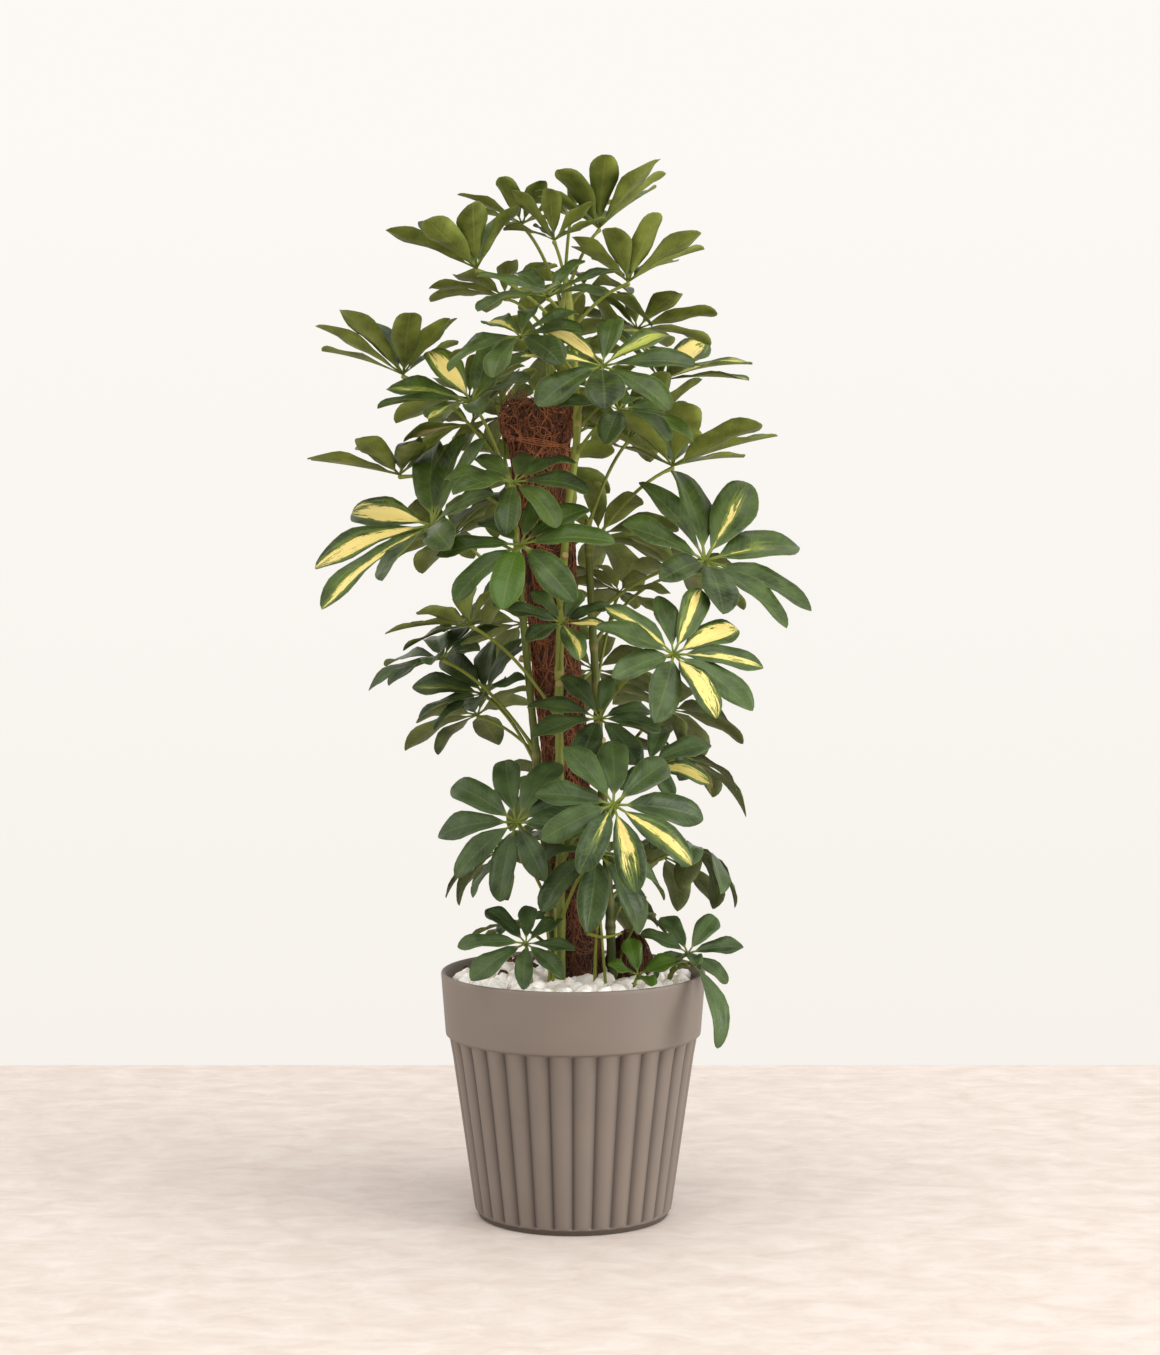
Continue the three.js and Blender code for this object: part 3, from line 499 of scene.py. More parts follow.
def wrap_body():
    rows = [(wrap_radius(z), float(z)) for z in np.arange(150, 908, 4)] + WRAP_CAP
    sunk = [(radius - np.interp(z, (860, 885), (1.8, 4)), z) for radius, z in rows]
    mesh = turned("wrap", sunk, WRAP_SEGMENTS)
    for vertex in mesh.vertices:
        x, y, z = vertex.co / MM
        swell = wrap_swell(math.atan2(y, x), z)
        vertex.co = Vector((x * swell + POLE_BASE[0] + POLE_LEAN * (z - POLE_BASE[1]), y * swell, z)) * MM
    return mesh


# %% Scatter strands or loops on the wrap
def fibre_tree(name, sizes, looped):
    tree, node, given = new_tree(name, sizes)
    place = node("GeometryNodeInputPosition")
    split = node("ShaderNodeSeparateXYZ", {0: place})
    looseness = node("ShaderNodeMapRange", {"Value": split.outputs[2], "From Min": 0.865, "From Max": 0.895})
    density = node("ShaderNodeMath", {0: looseness, 1: given["More at the crown"],
                                      2: given["Fibres per square metre"]}, operation="MULTIPLY_ADD")
    spots = node("GeometryNodeDistributePointsOnFaces",
                 {"Mesh": given["Geometry"], "Density": density,
                  "Seed": given["Seed"]}, distribute_method="RANDOM")
    if looped:
        arc = node("GeometryNodeCurveArc", {"Resolution": 9, "Radius": 1.0, "Sweep Angle": 4.4},
                   mode="RADIUS")
        shape = node("GeometryNodeCurveToMesh", {"Curve": arc})
        spin = node("FunctionNodeRandomValue", {2: 0.0, 3: 6.28, 8: 4}, data_type="FLOAT")
        about = node("FunctionNodeAxisAngleToRotation", {"Axis": (0.0, 0.0, 1.0), "Angle": spin})
        turn = node("FunctionNodeRotateRotation", {0: spots.outputs["Rotation"], 1: about},
                    rotation_space="LOCAL")
    else:
        shape = node("GeometryNodeMeshLine", {"Count": 8, "Start Location": (-0.5, 0.0, 0.0),
                                              "Offset": (0.143, 0.0, 0.0)})
        slant = node("FunctionNodeRandomValue", {0: (-0.5, -0.5, 0.4), 1: (0.5, 0.5, 1.0), 8: 4},
                     data_type="FLOAT_VECTOR")
        turn = node("FunctionNodeAlignRotationToVector", {"Vector": slant}, axis="X")
    stretch = node("FunctionNodeRandomValue", {2: 0.45, 3: 1.35, 8: 8}, data_type="FLOAT")
    long = node("ShaderNodeMath", {0: stretch, 1: given["Fibre size"]}, operation="MULTIPLY")
    fibres = node("GeometryNodeInstanceOnPoints", {"Points": spots, "Instance": shape, "Rotation": turn,
                                                   "Scale": long})
    shade = node("FunctionNodeRandomValue", {8: 12}, data_type="FLOAT")
    marked = node("GeometryNodeStoreNamedAttribute", {"Geometry": fibres, "Name": "shade", "Value": shade},
                  data_type="FLOAT", domain="INSTANCE")
    real = node("GeometryNodeRealizeInstances", {0: marked})
    kept_shade = node("GeometryNodeInputNamedAttribute", {"Name": "shade"}, data_type="FLOAT")
    phase = node("ShaderNodeMath", {0: kept_shade, 1: 9.0}, operation="MULTIPLY")
    wander = node("ShaderNodeTexNoise", {"W": phase, "Scale": 42.0, "Detail": 1.0}, noise_dimensions="4D")
    centred = node("ShaderNodeVectorMath", {0: wander.outputs[1], 1: (0.5, 0.5, 0.5)}, operation="SUBTRACT")
    sway = node("ShaderNodeVectorMath", {0: centred, "Scale": given["Waviness"]}, operation="SCALE")
    bent = node("GeometryNodeSetPosition", {"Geometry": real, "Offset": sway})
    nearest = node("GeometryNodeProximity", {0: given["Geometry"]}, target_element="FACES")
    body_normal = node("GeometryNodeInputNormal")
    facing = node("GeometryNodeSampleNearestSurface", {"Mesh": given["Geometry"], "Value": body_normal},
                  data_type="FLOAT_VECTOR")
    bumps = node("ShaderNodeTexNoise", {"W": phase, "Scale": 55.0, "Detail": 0.0}, noise_dimensions="4D")
    loft = node("ShaderNodeMath", {0: looseness, 1: given["More loft at the crown"], 2: given["Loft"]},
                operation="MULTIPLY_ADD")
    rise = node("ShaderNodeMath", {0: bumps, 1: loft}, operation="MULTIPLY")
    lift = node("ShaderNodeVectorMath", {0: facing, "Scale": rise}, operation="SCALE")
    laid_at = node("ShaderNodeVectorMath", {0: nearest, 1: lift}, operation="ADD")
    laid = node("GeometryNodeSetPosition", {"Geometry": bent, "Position": laid_at})
    curves = node("GeometryNodeMeshToCurve", {0: laid})
    ring = node("GeometryNodeCurvePrimitiveCircle", {0: 3, 4: 1.0})
    tubes = node("GeometryNodeCurveToMesh", {"Curve": curves, "Profile Curve": ring,
                                             "Scale": given["Fibre radius"]})
    smooth = node("GeometryNodeSetShadeSmooth", {0: tubes})
    end_tree(node, smooth, given["Finish"])
    return tree


strand_tree = fibre_tree("Coir strands", {
    "Fibres per square metre": 21000.0, "More at the crown": -16000.0, "Fibre size": 0.05,
    "Fibre radius": 0.00048, "Waviness": 0.03, "Loft": 0.0026, "More loft at the crown": 0.002, "Seed": 2,
}, looped=False)
loop_tree = fibre_tree("Coir loops", {
    "Fibres per square metre": 4000.0, "More at the crown": 16000.0, "Fibre size": 0.0165,
    "Fibre radius": 0.00056, "Waviness": 0.009, "Loft": 0.0035, "More loft at the crown": 0.0065, "Seed": 3,
}, looped=True)

# %% [markdown]
# Coir is the husk fibre of the coconut: red-brown and dull, each strand its own shade from near black to
# ginger. The wrap's body carries the same colours in fine streaks, painted darker as the shade between
# the fibres. Towards the foot of the pole the colour is mixed darker.

# %% Coconut husk fibre
def coir_finish(name, dark, light, scale, darkest, lightest):
    finish, node, shader = new_finish(name)
    where = node("ShaderNodeTexCoord").outputs["Object"]
    grain = node("ShaderNodeMapping", {"Vector": where, "Scale": (1.0, 1.0, 0.2)})
    streaks = node("ShaderNodeTexNoise", {"Vector": grain, "Scale": scale, "Detail": 5, "Distortion": 1.5})
    strand = node("ShaderNodeAttribute", attribute_name="shade").outputs["Fac"]
    both = node("ShaderNodeMath", {0: streaks, 1: strand}, operation="ADD")
    spread = node("ShaderNodeMapRange", {"Value": both, "From Min": darkest, "From Max": lightest})
    tint = node("ShaderNodeMix", {0: spread, 6: linear(dark), 7: linear(light)}, data_type="RGBA")
    split = node("ShaderNodeSeparateXYZ", {0: where})
    # darker towards the foot: below 0.5 m the colour is mixed towards #1C0D06
    low_darkening = node("ShaderNodeMapRange", {"Value": split.outputs[2], "From Min": 0.3, "From Max": 0.5,
                                       "To Min": 0.5, "To Max": 0.0})
    darkened_below = node("ShaderNodeMix", {0: low_darkening, 6: tint, 7: linear("#1C0D06")}, data_type="RGBA")
    relief = node("ShaderNodeBump", {"Height": streaks, "Strength": 0.7, "Distance": 1.5 * MM})
    fill(shader, {"Base Color": darkened_below, "Normal": relief, "Roughness": 0.85})
    return finish


wrap_finish = coir_finish("coconut husk fibre, matted", "#241209", "#6E3E22", 200, 0.32, 0.74)
strand_finish = coir_finish("coconut husk fibre, loose", "#220D05", "#AB6A43", 110, 0.5, 1.4)


def matted_piece(name, mesh):
    mesh.materials.append(wrap_finish)
    mesh.shade_smooth()
    return new_object(name, mesh)


coir_body = matted_piece("coir_body", wrap_body())
coir_strands = grow("coir_strands", coir_body.data.copy(), strand_tree, strand_finish)
coir_loops = grow("coir_loops", coir_body.data.copy(), loop_tree, strand_finish)

# %% [markdown]
# Two things finish the crown: a few turns of fibre bind its waist, and stray hairs stand up from its top.
# Both are polylines for the skin tree, worked out from the wrap's own radius.

# %% Binding and stray hairs
BINDING_HEIGHT = 873
BINDING_TURNS = 4
STRAY_HAIRS = 46
HAIR_FOOT = 915


def on_wrap(turn, height, above):
    radius = wrap_radius(height) * wrap_swell(turn, height) + above
    axis = POLE_BASE[0] + POLE_LEAN * (height - POLE_BASE[1])
    return (axis + radius * math.cos(turn), radius * math.sin(turn), height)


def crown_lines():
    chance = seeded_random(77)
    places, edges, thick, shade = [], [], [], []

    def draw(points, radius, paleness):
        for i, point in enumerate(points):
            if i:
                edges.append((len(places) - 1, len(places)))
            places.append(Vector(point) * MM)
            thick.append(radius * (1 - 0.6 * i / len(points)) * MM)
            shade.append(paleness)

    for wind in range(BINDING_TURNS):
        wobble = next(chance) * 6
        middle = BINDING_HEIGHT + 2 * wind
        heights = [middle + 6 * math.sin(2 * math.pi * i / 16 + wobble) for i in range(29)]
        draw([on_wrap(2 * math.pi * i / 24, z, 0.9) for i, z in enumerate(heights)], 0.8, 0.95)
    for _ in range(STRAY_HAIRS):
        turn = next(chance) * 2 * math.pi
        reach = 18 + 20 * next(chance)
        height = 12 + 18 * next(chance) ** 2
        curl = (next(chance) - 0.5) * 1.6
        axis = POLE_BASE[0] + POLE_LEAN * (920 - POLE_BASE[1])
        hair = []
        for i in range(6):
            t = i / 5
            out = reach * (1 - 0.25 * t) + 9 * math.sin(2.4 * t + curl)
            hair.append((axis + out * math.cos(turn + curl * t), out * math.sin(turn + curl * t),
                         HAIR_FOOT + height * math.sin(1.8 * t)))
        draw(hair, 0.45, 0.3)
    return bare_mesh("crown", places, edges, thick=thick, shade=shade, knob=[0] * len(places))


coir_crown = grow("coir_crown", crown_lines(), skin_tree, strand_finish, Sides=4)

# %% [markdown]
# At the foot the coir comes loose: a lump of husk leans on the pole at the right, and flakes of it lie
# among the stones at the back. The lump is a swollen half ball with strands of its own, the flakes are
# short thick lines.

# %% Loose husk at the foot
HUSK_CENTRE = (62, 14, 252)
HUSK_SIZES = (31, 21, 62)
HUSK_FLAKES = 38
FLAKE_RADII = (0.8, 2.8, 3.2, 1.2)


def husk_lump():
    rows = [(math.cos(a), math.sin(a)) for a in np.linspace(-0.4, 1.5, 18)]
    mesh = turned("husk", rows, 40)
    for vertex in mesh.vertices:
        x, y, z = vertex.co / MM
        turn = math.atan2(y, x)
        swell = 1 + 0.1 * math.sin(3 * turn + 2 * z) + 0.05 * math.sin(9 * turn + 7 * z)
        vertex.co = Vector([c + size * swell * share
                            for c, size, share in zip(HUSK_CENTRE, HUSK_SIZES, (x, y, z))]) * MM
    return mesh


def husk_flakes():
    chance = seeded_random(31)
    places, edges, thick = [], [], []
    for _ in range(HUSK_FLAKES):
        turn = math.radians(20 + 165 * next(chance))
        out = 127 - 56 * next(chance) ** 2
        heading = next(chance) * 6.28
        length = 9 + 8 * next(chance)
        for i, radius in enumerate(FLAKE_RADII):
            t = i / 3 - 0.5
            if i:
                edges.append((len(places) - 1, len(places)))
            places.append(Vector((out * math.cos(turn) + length * t * math.cos(heading),
                                  out * math.sin(turn) + length * t * math.sin(heading),
                                  273 + 5 * next(chance) + 3 * t)) * MM)
            thick.append(radius * MM)
    return bare_mesh("flakes", places, edges, thick=thick, shade=[0.35] * len(places),
                     knob=[0] * len(places))


coir_husk = matted_piece("coir_husk", husk_lump())
coir_husk_strands = grow("coir_husk_strands", coir_husk.data.copy(), strand_tree, strand_finish)
coir_flakes = grow("coir_flakes", husk_flakes(), skin_tree, strand_finish, Sides=6)
for piece in (coir_body, coir_strands, coir_loops, coir_crown, coir_husk, coir_husk_strands, coir_flakes):
    place_piece(piece, "coir", "coir_wrap")

# %% [markdown]
# The stake inside the wrap is a round of pine, seen only where the model is opened. It keeps its CAD
# solid.

# %% Pine on the stake
core_finish, node, shader = new_finish("planed pine")
where = node("ShaderNodeTexCoord").outputs["Object"]
grain = node("ShaderNodeMapping", {"Vector": where, "Scale": (1.0, 1.0, 0.06)})
rings = node("ShaderNodeTexNoise", {"Vector": grain, "Scale": 420, "Detail": 4})
tint = node("ShaderNodeMix", {0: rings, 6: linear("#A5824F"), 7: linear("#D3B37E")}, data_type="RGBA")
fill(shader, {"Base Color": tint, "Roughness": 0.7})
repaint("pole_core", core_finish)

# %% [markdown]
# ## Where every leaf grows
# The tables repeat the CAD model's: each stem's path, and for each leaf the height where its stalk leaves
# the stem, its hub, its lean, and its number of leaflets with their length, rise and droop. The CAD model
# bent each leaflet until it passed its neighbours, so the bend it took is found here by looking which one
# puts the leaflet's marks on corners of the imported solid. A leaflet with no match was left out there, and
# so it is here.

# %% Paths of the stems and the table of leaves
STEMS = {
    "stem_left": ([(-20, -30, 190), (-24, -30, 330), (-39, -26, 500), (-54, -26, 655), (-66, -30, 790),
                   (-76, -28, 850)], (5.2, 3.4)),
    "stem_front": ([(-14, -44, 190), (-14, -43, 330), (-15, -38, 500), (-15, -36, 650), (-6, -36, 800),
                    (4, -34, 880), (2, -24, 960), (-4, -14, 1030), (-8, -10, 1060)], (5.6, 3.2)),
    "stem_right": ([(46, -14, 190), (42, -14, 330), (32, -14, 500), (20, -12, 700), (16, -8, 790)],
                   (5.6, 3.8)),
    "stem_back": ([(12, 44, 190), (6, 43, 330), (-12, 42, 500), (-24, 42, 700), (-36, 50, 880),
                   (-24, 42, 960), (-10, 26, 1045)], (5, 2.8)),
    "shoot_left": ([(-44, -74, 215), (-45, -74, 260), (-48, -72, 292)], (2.6, 2.2)),
    "shoot_right": ([(100, -34, 215), (104, -35, 260), (112, -37, 288)], (2.6, 2.2)),
    "seedling": ([(64, -84, 225), (66, -84, 258), (68, -85, 279)], (2.2, 2)),
}
LEAVES = {
    "stem_front": [
        (985, -108, 10, 1070, 193, 19, 9, 115, 41, 8, 58),
        (1030, -21, -20, 1099, 92, 15, 7, 76, 38, 22, 30),
        (1045, 29, 20, 1116, 110, 7, 9, 108, 38, 17, -71),
        (1000, 61, -30, 1052, 71, 13, 9, 100, 39, 14, -9),
        (975, -27, -110, 1030, -110, 22, 7, 100, 28, 28, 12),
        (950, -56, -120, 986, -120, 30, 8, 94, 20, 45, -8),
        (900, 31, -150, 953, -85, 38, 8, 112, 20, 32, 0),
        (905, 22, 22, 934, 85, 30, 7, 70, 30, 30, 0),
        (860, 50, -72, 909, -50, 26, 8, 97, 20, 44, -5),
        (890, 100, 50, 947, -15, 18, 8, 118, 32, 18, -5),
        (690, -55, -190, 763, -105, 42, 8, 110, 16, 40, 22),
        (566, -114, -42, 672, 168, 32, 8, 98, 30, 25, 8),
        (620, -12, -130, 677, -75, 34, 7, 72, 30, 34, 25),
        (400, 43, -190, 487, -75, 56, 9, 112, 10, 32, 4),
        (340, 26, -110, 425, -65, 26, 7, 108, -4, 62, 12),
    ],
    "stem_left": [
        (842, -192, 20, 952, 119, 8, 9, 118, 35, 12, 36),
        (795, -195, 0, 839, 165, 12, 8, 111, 30, 15, 18),
        (830, -111, -60, 918, -125, 28, 8, 112, 28, 26, 25),
        (815, -118, 90, 898, 150, 30, 7, 95, 25, 35, 8),
        (846, -83, 45, 905, 160, 45, 7, 80, 27, 44, 0),
        (690, -153, -90, 783, -142, 48, 9, 156, 22, 24, 0),
        (775, -63, -150, 829, -93, 32, 8, 92, 20, 48, 10),
        (530, -146, -20, 633, -150, 24, 8, 98, 25, 36, 8),
        (512, -100, 10, 591, -145, 36, 9, 95, 28, 31, 4),
        (385, -62, -100, 458, -105, 55, 9, 106, 12, 46, 18),
        (350, -62, -24, 418, -165, 28, 7, 84, 8, 45, 0),
    ],
    "stem_right": [
        (780, 63, 50, 880, 97, 22, 8, 112, 42, 4, -56),
        (755, 112, 10, 849, 54, 13, 8, 135, 30, 15, -22),
        (680, 147, -20, 743, -50, 45, 9, 144, 20, 24, 10),
        (566, 108, -150, 645, -68, 48, 10, 113, 20, 28, -4),
        (510, 29, -78, 570, -80, 34, 8, 88, 20, 42, -8),
        (440, 84, -26, 514, -80, 36, 7, 82, 22, 36, -10),
        (450, 121, 40, 519, 25, 34, 8, 104, 16, 45, -10),
        (360, 135, 20, 417, 30, 30, 8, 96, 4, 70, 8),
        (600, 52, 40, 706, 60, 26, 8, 76, 26, 34, 0),
        (650, 124, 104, 726, 40, 30, 8, 106, 24, 34, 0),
        (480, 112, 118, 566, 50, 34, 8, 102, 20, 42, 6),
        (330, 104, 96, 396, 48, 34, 7, 96, 10, 56, -6),
    ],
    "stem_back": [
        (1030, -59, 84, 1127, 105, 14, 7, 80, 33, 19, 56),
        (1042, -3, 110, 1137, 80, 16, 7, 80, 36, 22, -20),
        (1000, 12, 72, 1052, 50, 26, 7, 96, 12, 52, 0),
        (985, -80, 112, 1046, 130, 24, 8, 98, 30, 30, 0),
        (960, 74, 128, 1010, 55, 26, 8, 102, 30, 30, 8),
        (930, -30, 168, 985, 100, 32, 8, 104, 26, 36, -6),
        (880, -122, 140, 930, 135, 30, 8, 104, 26, 36, 5),
        (850, 60, 176, 905, 70, 34, 8, 106, 24, 38, 0),
        (760, -78, 62, 815, 160, 26, 7, 100, 12, 45, 0),
        (800, -40, 196, 850, 100, 40, 8, 108, 20, 40, 10),
        (720, -140, 136, 770, 138, 36, 8, 104, 24, 36, 0),
        (720, 30, 196, 770, 84, 40, 9, 110, 20, 38, 0),
        (630, -44, 92, 712, 150, 24, 8, 104, 14, 46, 0),
        (560, -60, 190, 664, 108, 42, 8, 104, 18, 40, -8),
        (540, 24, 176, 610, 78, 40, 8, 100, 16, 44, 8),
        (480, -112, 116, 560, 138, 36, 8, 98, 18, 44, 0),
        (390, -20, 160, 480, 98, 44, 8, 100, 10, 50, 0),
        (340, -84, 96, 404, 135, 36, 8, 92, 8, 54, 6),
        (300, 34, 118, 352, 80, 34, 7, 84, 8, 56, 0),
    ],
    "shoot_left": [(288, -52, -92, 323, -92, 40, 8, 76, 12, 34, 86)],
    "shoot_right": [
        (284, 128, -52, 306, -75, 42, 7, 66, 12, 30, 50),
        (278, 128, -60, 296, -35, 14, 3, 112, 6, 92, 0),
    ],
    "seedling": [(277, 72, -88, 287, -87, 27, 4, 50, 30, 19, 38)],
}

# %% A smooth path through a stem's points
def stem_path(points):
    """Centripetal Catmull-Rom through the points; returns a function of 0..1."""
    known = np.array(points, float)
    last = len(known) - 1

    def at(share):
        place = last * share
        i = min(int(place), last - 1)
        w = place - i
        p1 = known[i]
        p2 = known[i + 1]
        p0 = known[i - 1] if i > 0 else 2 * known[0] - known[1]
        p3 = known[i + 2] if i + 2 <= last else 2 * known[last] - known[last - 1]
        d0, d1, d2 = (np.linalg.norm(b - a) ** 0.5 for a, b in ((p0, p1), (p1, p2), (p2, p3)))
        t1 = ((p1 - p0) / d0 - (p2 - p0) / (d0 + d1) + (p2 - p1) / d1) * d1
        t2 = ((p2 - p1) / d1 - (p3 - p1) / (d1 + d2) + (p3 - p2) / d2) * d1
        return p1 + t1 * w + (-3 * p1 + 3 * p2 - 2 * t1 - t2) * w ** 2 + (2 * p1 - 2 * p2 + t1 + t2) * w ** 3

    return at


def point_at_height(path, height):
    low, high = 0.0, 1.0
    for _ in range(40):
        middle = (low + high) / 2
        if path(middle)[2] < height:
            low = middle
        else:
            high = middle
    return path(low)


# %% One leaf and its leaflets, from its row in the table
FULL_CIRCLE = 349


def read_leaf(row, foot, seed):
    """The CAD model's own rule: the side leaflets are shorter, and each differs a little by chance."""
    _, x, y, z, azimuth, lean, count, length, rise, droop, turn = row
    hub = np.array([x, y, z], float)
    a, t = math.radians(azimuth), math.radians(lean)
    up = np.array([math.sin(t) * math.cos(a), math.sin(t) * math.sin(a), math.cos(t)])
    forward = hub - foot
    forward -= up * (forward @ up)
    forward /= np.linalg.norm(forward)
    chance = seeded_random(seed)
    spread = FULL_CIRCLE * (count - 1) / count
    leaflets = []
    for k in range(count):
        angle = (k / (count - 1) - 0.5) * spread
        shorter = 1 - (0.28 if count > 3 else 1) * (abs(angle) / 180) ** 1.2
        leaflets.append({
            "angle": angle + turn + (next(chance) - 0.5) * 9,
            "length": length * shorter * (0.94 + 0.12 * next(chance)),
            "rise": rise + (next(chance) - 0.5) * 12,
            "droop": droop + (next(chance) - 0.5) * 16,
            "roll": (next(chance) - 0.5) * 26,
        })
    return {"hub": hub, "foot": foot, "up": up, "forward": forward, "across": np.cross(up, forward),
            "leaflets": leaflets}


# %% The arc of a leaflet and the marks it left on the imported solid
def leaflet_arc(leaf, leaflet, more_rise, more_turn):
    angle = math.radians(leaflet["angle"] + more_turn)
    rise = math.radians(leaflet["rise"] + more_rise)
    out = leaf["forward"] * math.cos(angle) + leaf["across"] * math.sin(angle)
    return {
        "start": out * math.cos(rise) + leaf["up"] * math.sin(rise),
        "over": leaf["up"] * math.cos(rise) - out * math.sin(rise),
        "side": leaf["across"] * math.cos(angle) - leaf["forward"] * math.sin(angle),
        "bend": math.radians(max(leaflet["droop"], 4)),
        "roll": math.radians(leaflet["roll"]),
        "length": leaflet["length"],
    }


def arc_point(hub, arc, t):
    s, c = math.sin(arc["bend"] * t), math.cos(arc["bend"] * t)
    reach = arc["length"] / arc["bend"]
    lift = arc["over"] * c + arc["start"] * s
    twist = arc["roll"] * t
    level = arc["side"] * math.cos(twist) + lift * math.sin(twist)
    top = lift * math.cos(twist) - arc["side"] * math.sin(twist)
    return hub + (lift - arc["over"]) * reach, level, top


def blade_marks(hub, arc):
    marks = []
    for t, width in ((0.5, 0.86), (0.82, 0.92)):
        point, level, top = arc_point(hub, arc, t)
        half = arc["length"] * 0.17 * width
        marks += [point + level * half + top * half * 0.2, point - level * half + top * half * 0.2]
        marks += [point + top * 0.9, point - top * 0.9]
    return marks + [arc_point(hub, arc, 1)[0]]


# %% Find the bend that each leaflet took
BENDS = [
    (0, 0), (10, 0), (-10, 0), (0, 9), (0, -9), (20, 0), (-20, 0), (12, 10), (12, -10), (-12, 10),
    (-12, -10), (32, 0), (-32, 0), (24, 12), (24, -12), (-24, 12), (-24, -12), (45, 0), (-45, 0),
]
MARK_REACH = 0.4 * MM
FEWEST_MARKS = 5


def corners_of(node_name):
    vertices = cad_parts[node_name].data.vertices
    tree = kdtree.KDTree(len(vertices))
    for i, vertex in enumerate(vertices):
        tree.insert(vertex.co, i)
    tree.balance()
    return tree


def best_arc(leaf, leaflet, corners):
    best = (0, None)
    for bend in BENDS:
        arc = leaflet_arc(leaf, leaflet, *bend)
        marks = blade_marks(leaf["hub"], arc)
        found = sum(corners.find(Vector(mark * MM))[2] < MARK_REACH for mark in marks)
        if found > best[0]:
            best = (found, arc)
        if found == len(marks):
            break
    return best[1] if best[0] >= FEWEST_MARKS else None


FIRST_LEAF_SEED = 100
plant = []
missing = []
for owner, rows in LEAVES.items():
    path = stem_path(STEMS[owner][0])
    corners = corners_of(owner)
    for row in rows:
        number = len(plant)
        leaf = read_leaf(row, point_at_height(path, row[0]), FIRST_LEAF_SEED + number)
        arcs = {k: best_arc(leaf, leaflet, corners) for k, leaflet in enumerate(leaf["leaflets"])}
        missing += [(number, k) for k, arc in arcs.items() if arc is None]
        arcs = {k: arc for k, arc in arcs.items() if arc is not None}
        plant.append({**leaf, "owner": owner, "number": number, "arcs": arcs})
print(f"{len(plant)} leaves with {sum(len(leaf['arcs']) for leaf in plant)} leaflets; left out: {missing}")

# %% [markdown]
# Near the foot the plant is bushier than the CAD model: a few small leaves hang behind the large ones.
# They are too thin to matter to its solids, so they have rows of their own here and take their bend as it
# is.

# %% Small leaves near the foot
UNDERGROWTH = {
    "stem_back": [(250, -66, 14, 330, 165, 24, 6, 66, 16, 46, 0)],
    "stem_right": [(262, 76, 20, 338, 10, 26, 6, 72, 14, 50, 12)],
}
for owner, rows in UNDERGROWTH.items():
    path = stem_path(STEMS[owner][0])
    for row in rows:
        leaf = read_leaf(row, point_at_height(path, row[0]), FIRST_LEAF_SEED + len(plant))
        arcs = {k: leaflet_arc(leaf, leaflet, 0, 0) for k, leaflet in enumerate(leaf["leaflets"])}
        plant.append({**leaf, "owner": owner, "number": len(plant), "arcs": arcs})
print(f"{len(plant)} leaves with the small ones")

# %% [markdown]
# ## Stems and stalks
# A stem of this plant is a smooth green cane that swells at every leaf and keeps a pale ring there. A
# leaf stalk is a thin round stalk, thicker at both ends, and carries all leaflets on one knob. Both are
# polylines for the skin tree.

# %% [markdown]
# The skin of stems and stalks: young growth is yellow-green, older cane a dull mid green that greys and
# turns brown in streaks near the foot. The rings at the leaves are pale.

# %% Green cane
cane_finish, node, shader = new_finish("living green cane")
where = node("ShaderNodeTexCoord").outputs["Object"]
young = node("ShaderNodeAttribute", attribute_name="young").outputs["Fac"]
scar = node("ShaderNodeAttribute", attribute_name="scar").outputs["Fac"]
grain = node("ShaderNodeMapping", {"Vector": where, "Scale": (1.0, 1.0, 0.15)})
streaks = node("ShaderNodeTexNoise", {"Vector": grain, "Scale": 260, "Detail": 4})
old = node("ShaderNodeMix", {0: streaks, 6: linear("#1F2B0D"), 7: linear("#3D491B")}, data_type="RGBA")
fresh = node("ShaderNodeMix", {0: streaks, 6: linear("#5F6A1A"), 7: linear("#8B9235")}, data_type="RGBA")
age = node("ShaderNodeMix", {0: young, 6: old, 7: fresh}, data_type="RGBA")
ringed = node("ShaderNodeMix", {0: scar, 6: age, 7: linear("#A08C5A")}, data_type="RGBA")
relief = node("ShaderNodeBump", {"Height": streaks, "Strength": 0.25, "Distance": 0.5 * MM})
fill(shader, {"Base Color": ringed, "Normal": relief, "Roughness": 0.5, "Specular IOR Level": 0.3})

# %% Draw the polylines of a stem with its stalks
SWELL_REACH = 5.5
SCAR_RISE = 4.5
SCAR_WIDTH = 1.8
TIP_LENGTH = 9
STALK_RADIUS = 1.9
KNOB_RADIUS = 2.7
HUB_HEIGHT = 1.6
STEM_STEP = 5
STALK_STEPS = 10
SHOOT_STEPS = 8
PEG_RINGS = ((2, 3.4), (6.5, 4), (8.4, 3.6))  # how far out along the stub, and its radius there
YOUTH = {"stem_left": (0, 0.6), "stem_front": (0.45, 1), "stem_right": (0, 0.5), "stem_back": (0, 0.8)}
YOUNG_SHOOTS = {
    "stem_front": [
        [(-28, -44, 262), (-26, -52, 300), (-31, -62, 352)],
        [(-24, -46, 262), (-20, -54, 310), (-20, -66, 360)],
    ],
    "stem_right": [
        [(37, -60, 262), (34, -62, 300), (30, -64, 352)],
        [(24, -56, 262), (25, -60, 312), (29, -58, 356)],
        [(16, -64, 330), (34, -70, 327), (54, -66, 331)],
    ],
}
PEGS = {
    "stem_front": [(605, -90), (432, -70), (748, -80)],
    "stem_left": [(632, 170), (455, -100)],
    "stem_right": [(540, -60)],
}


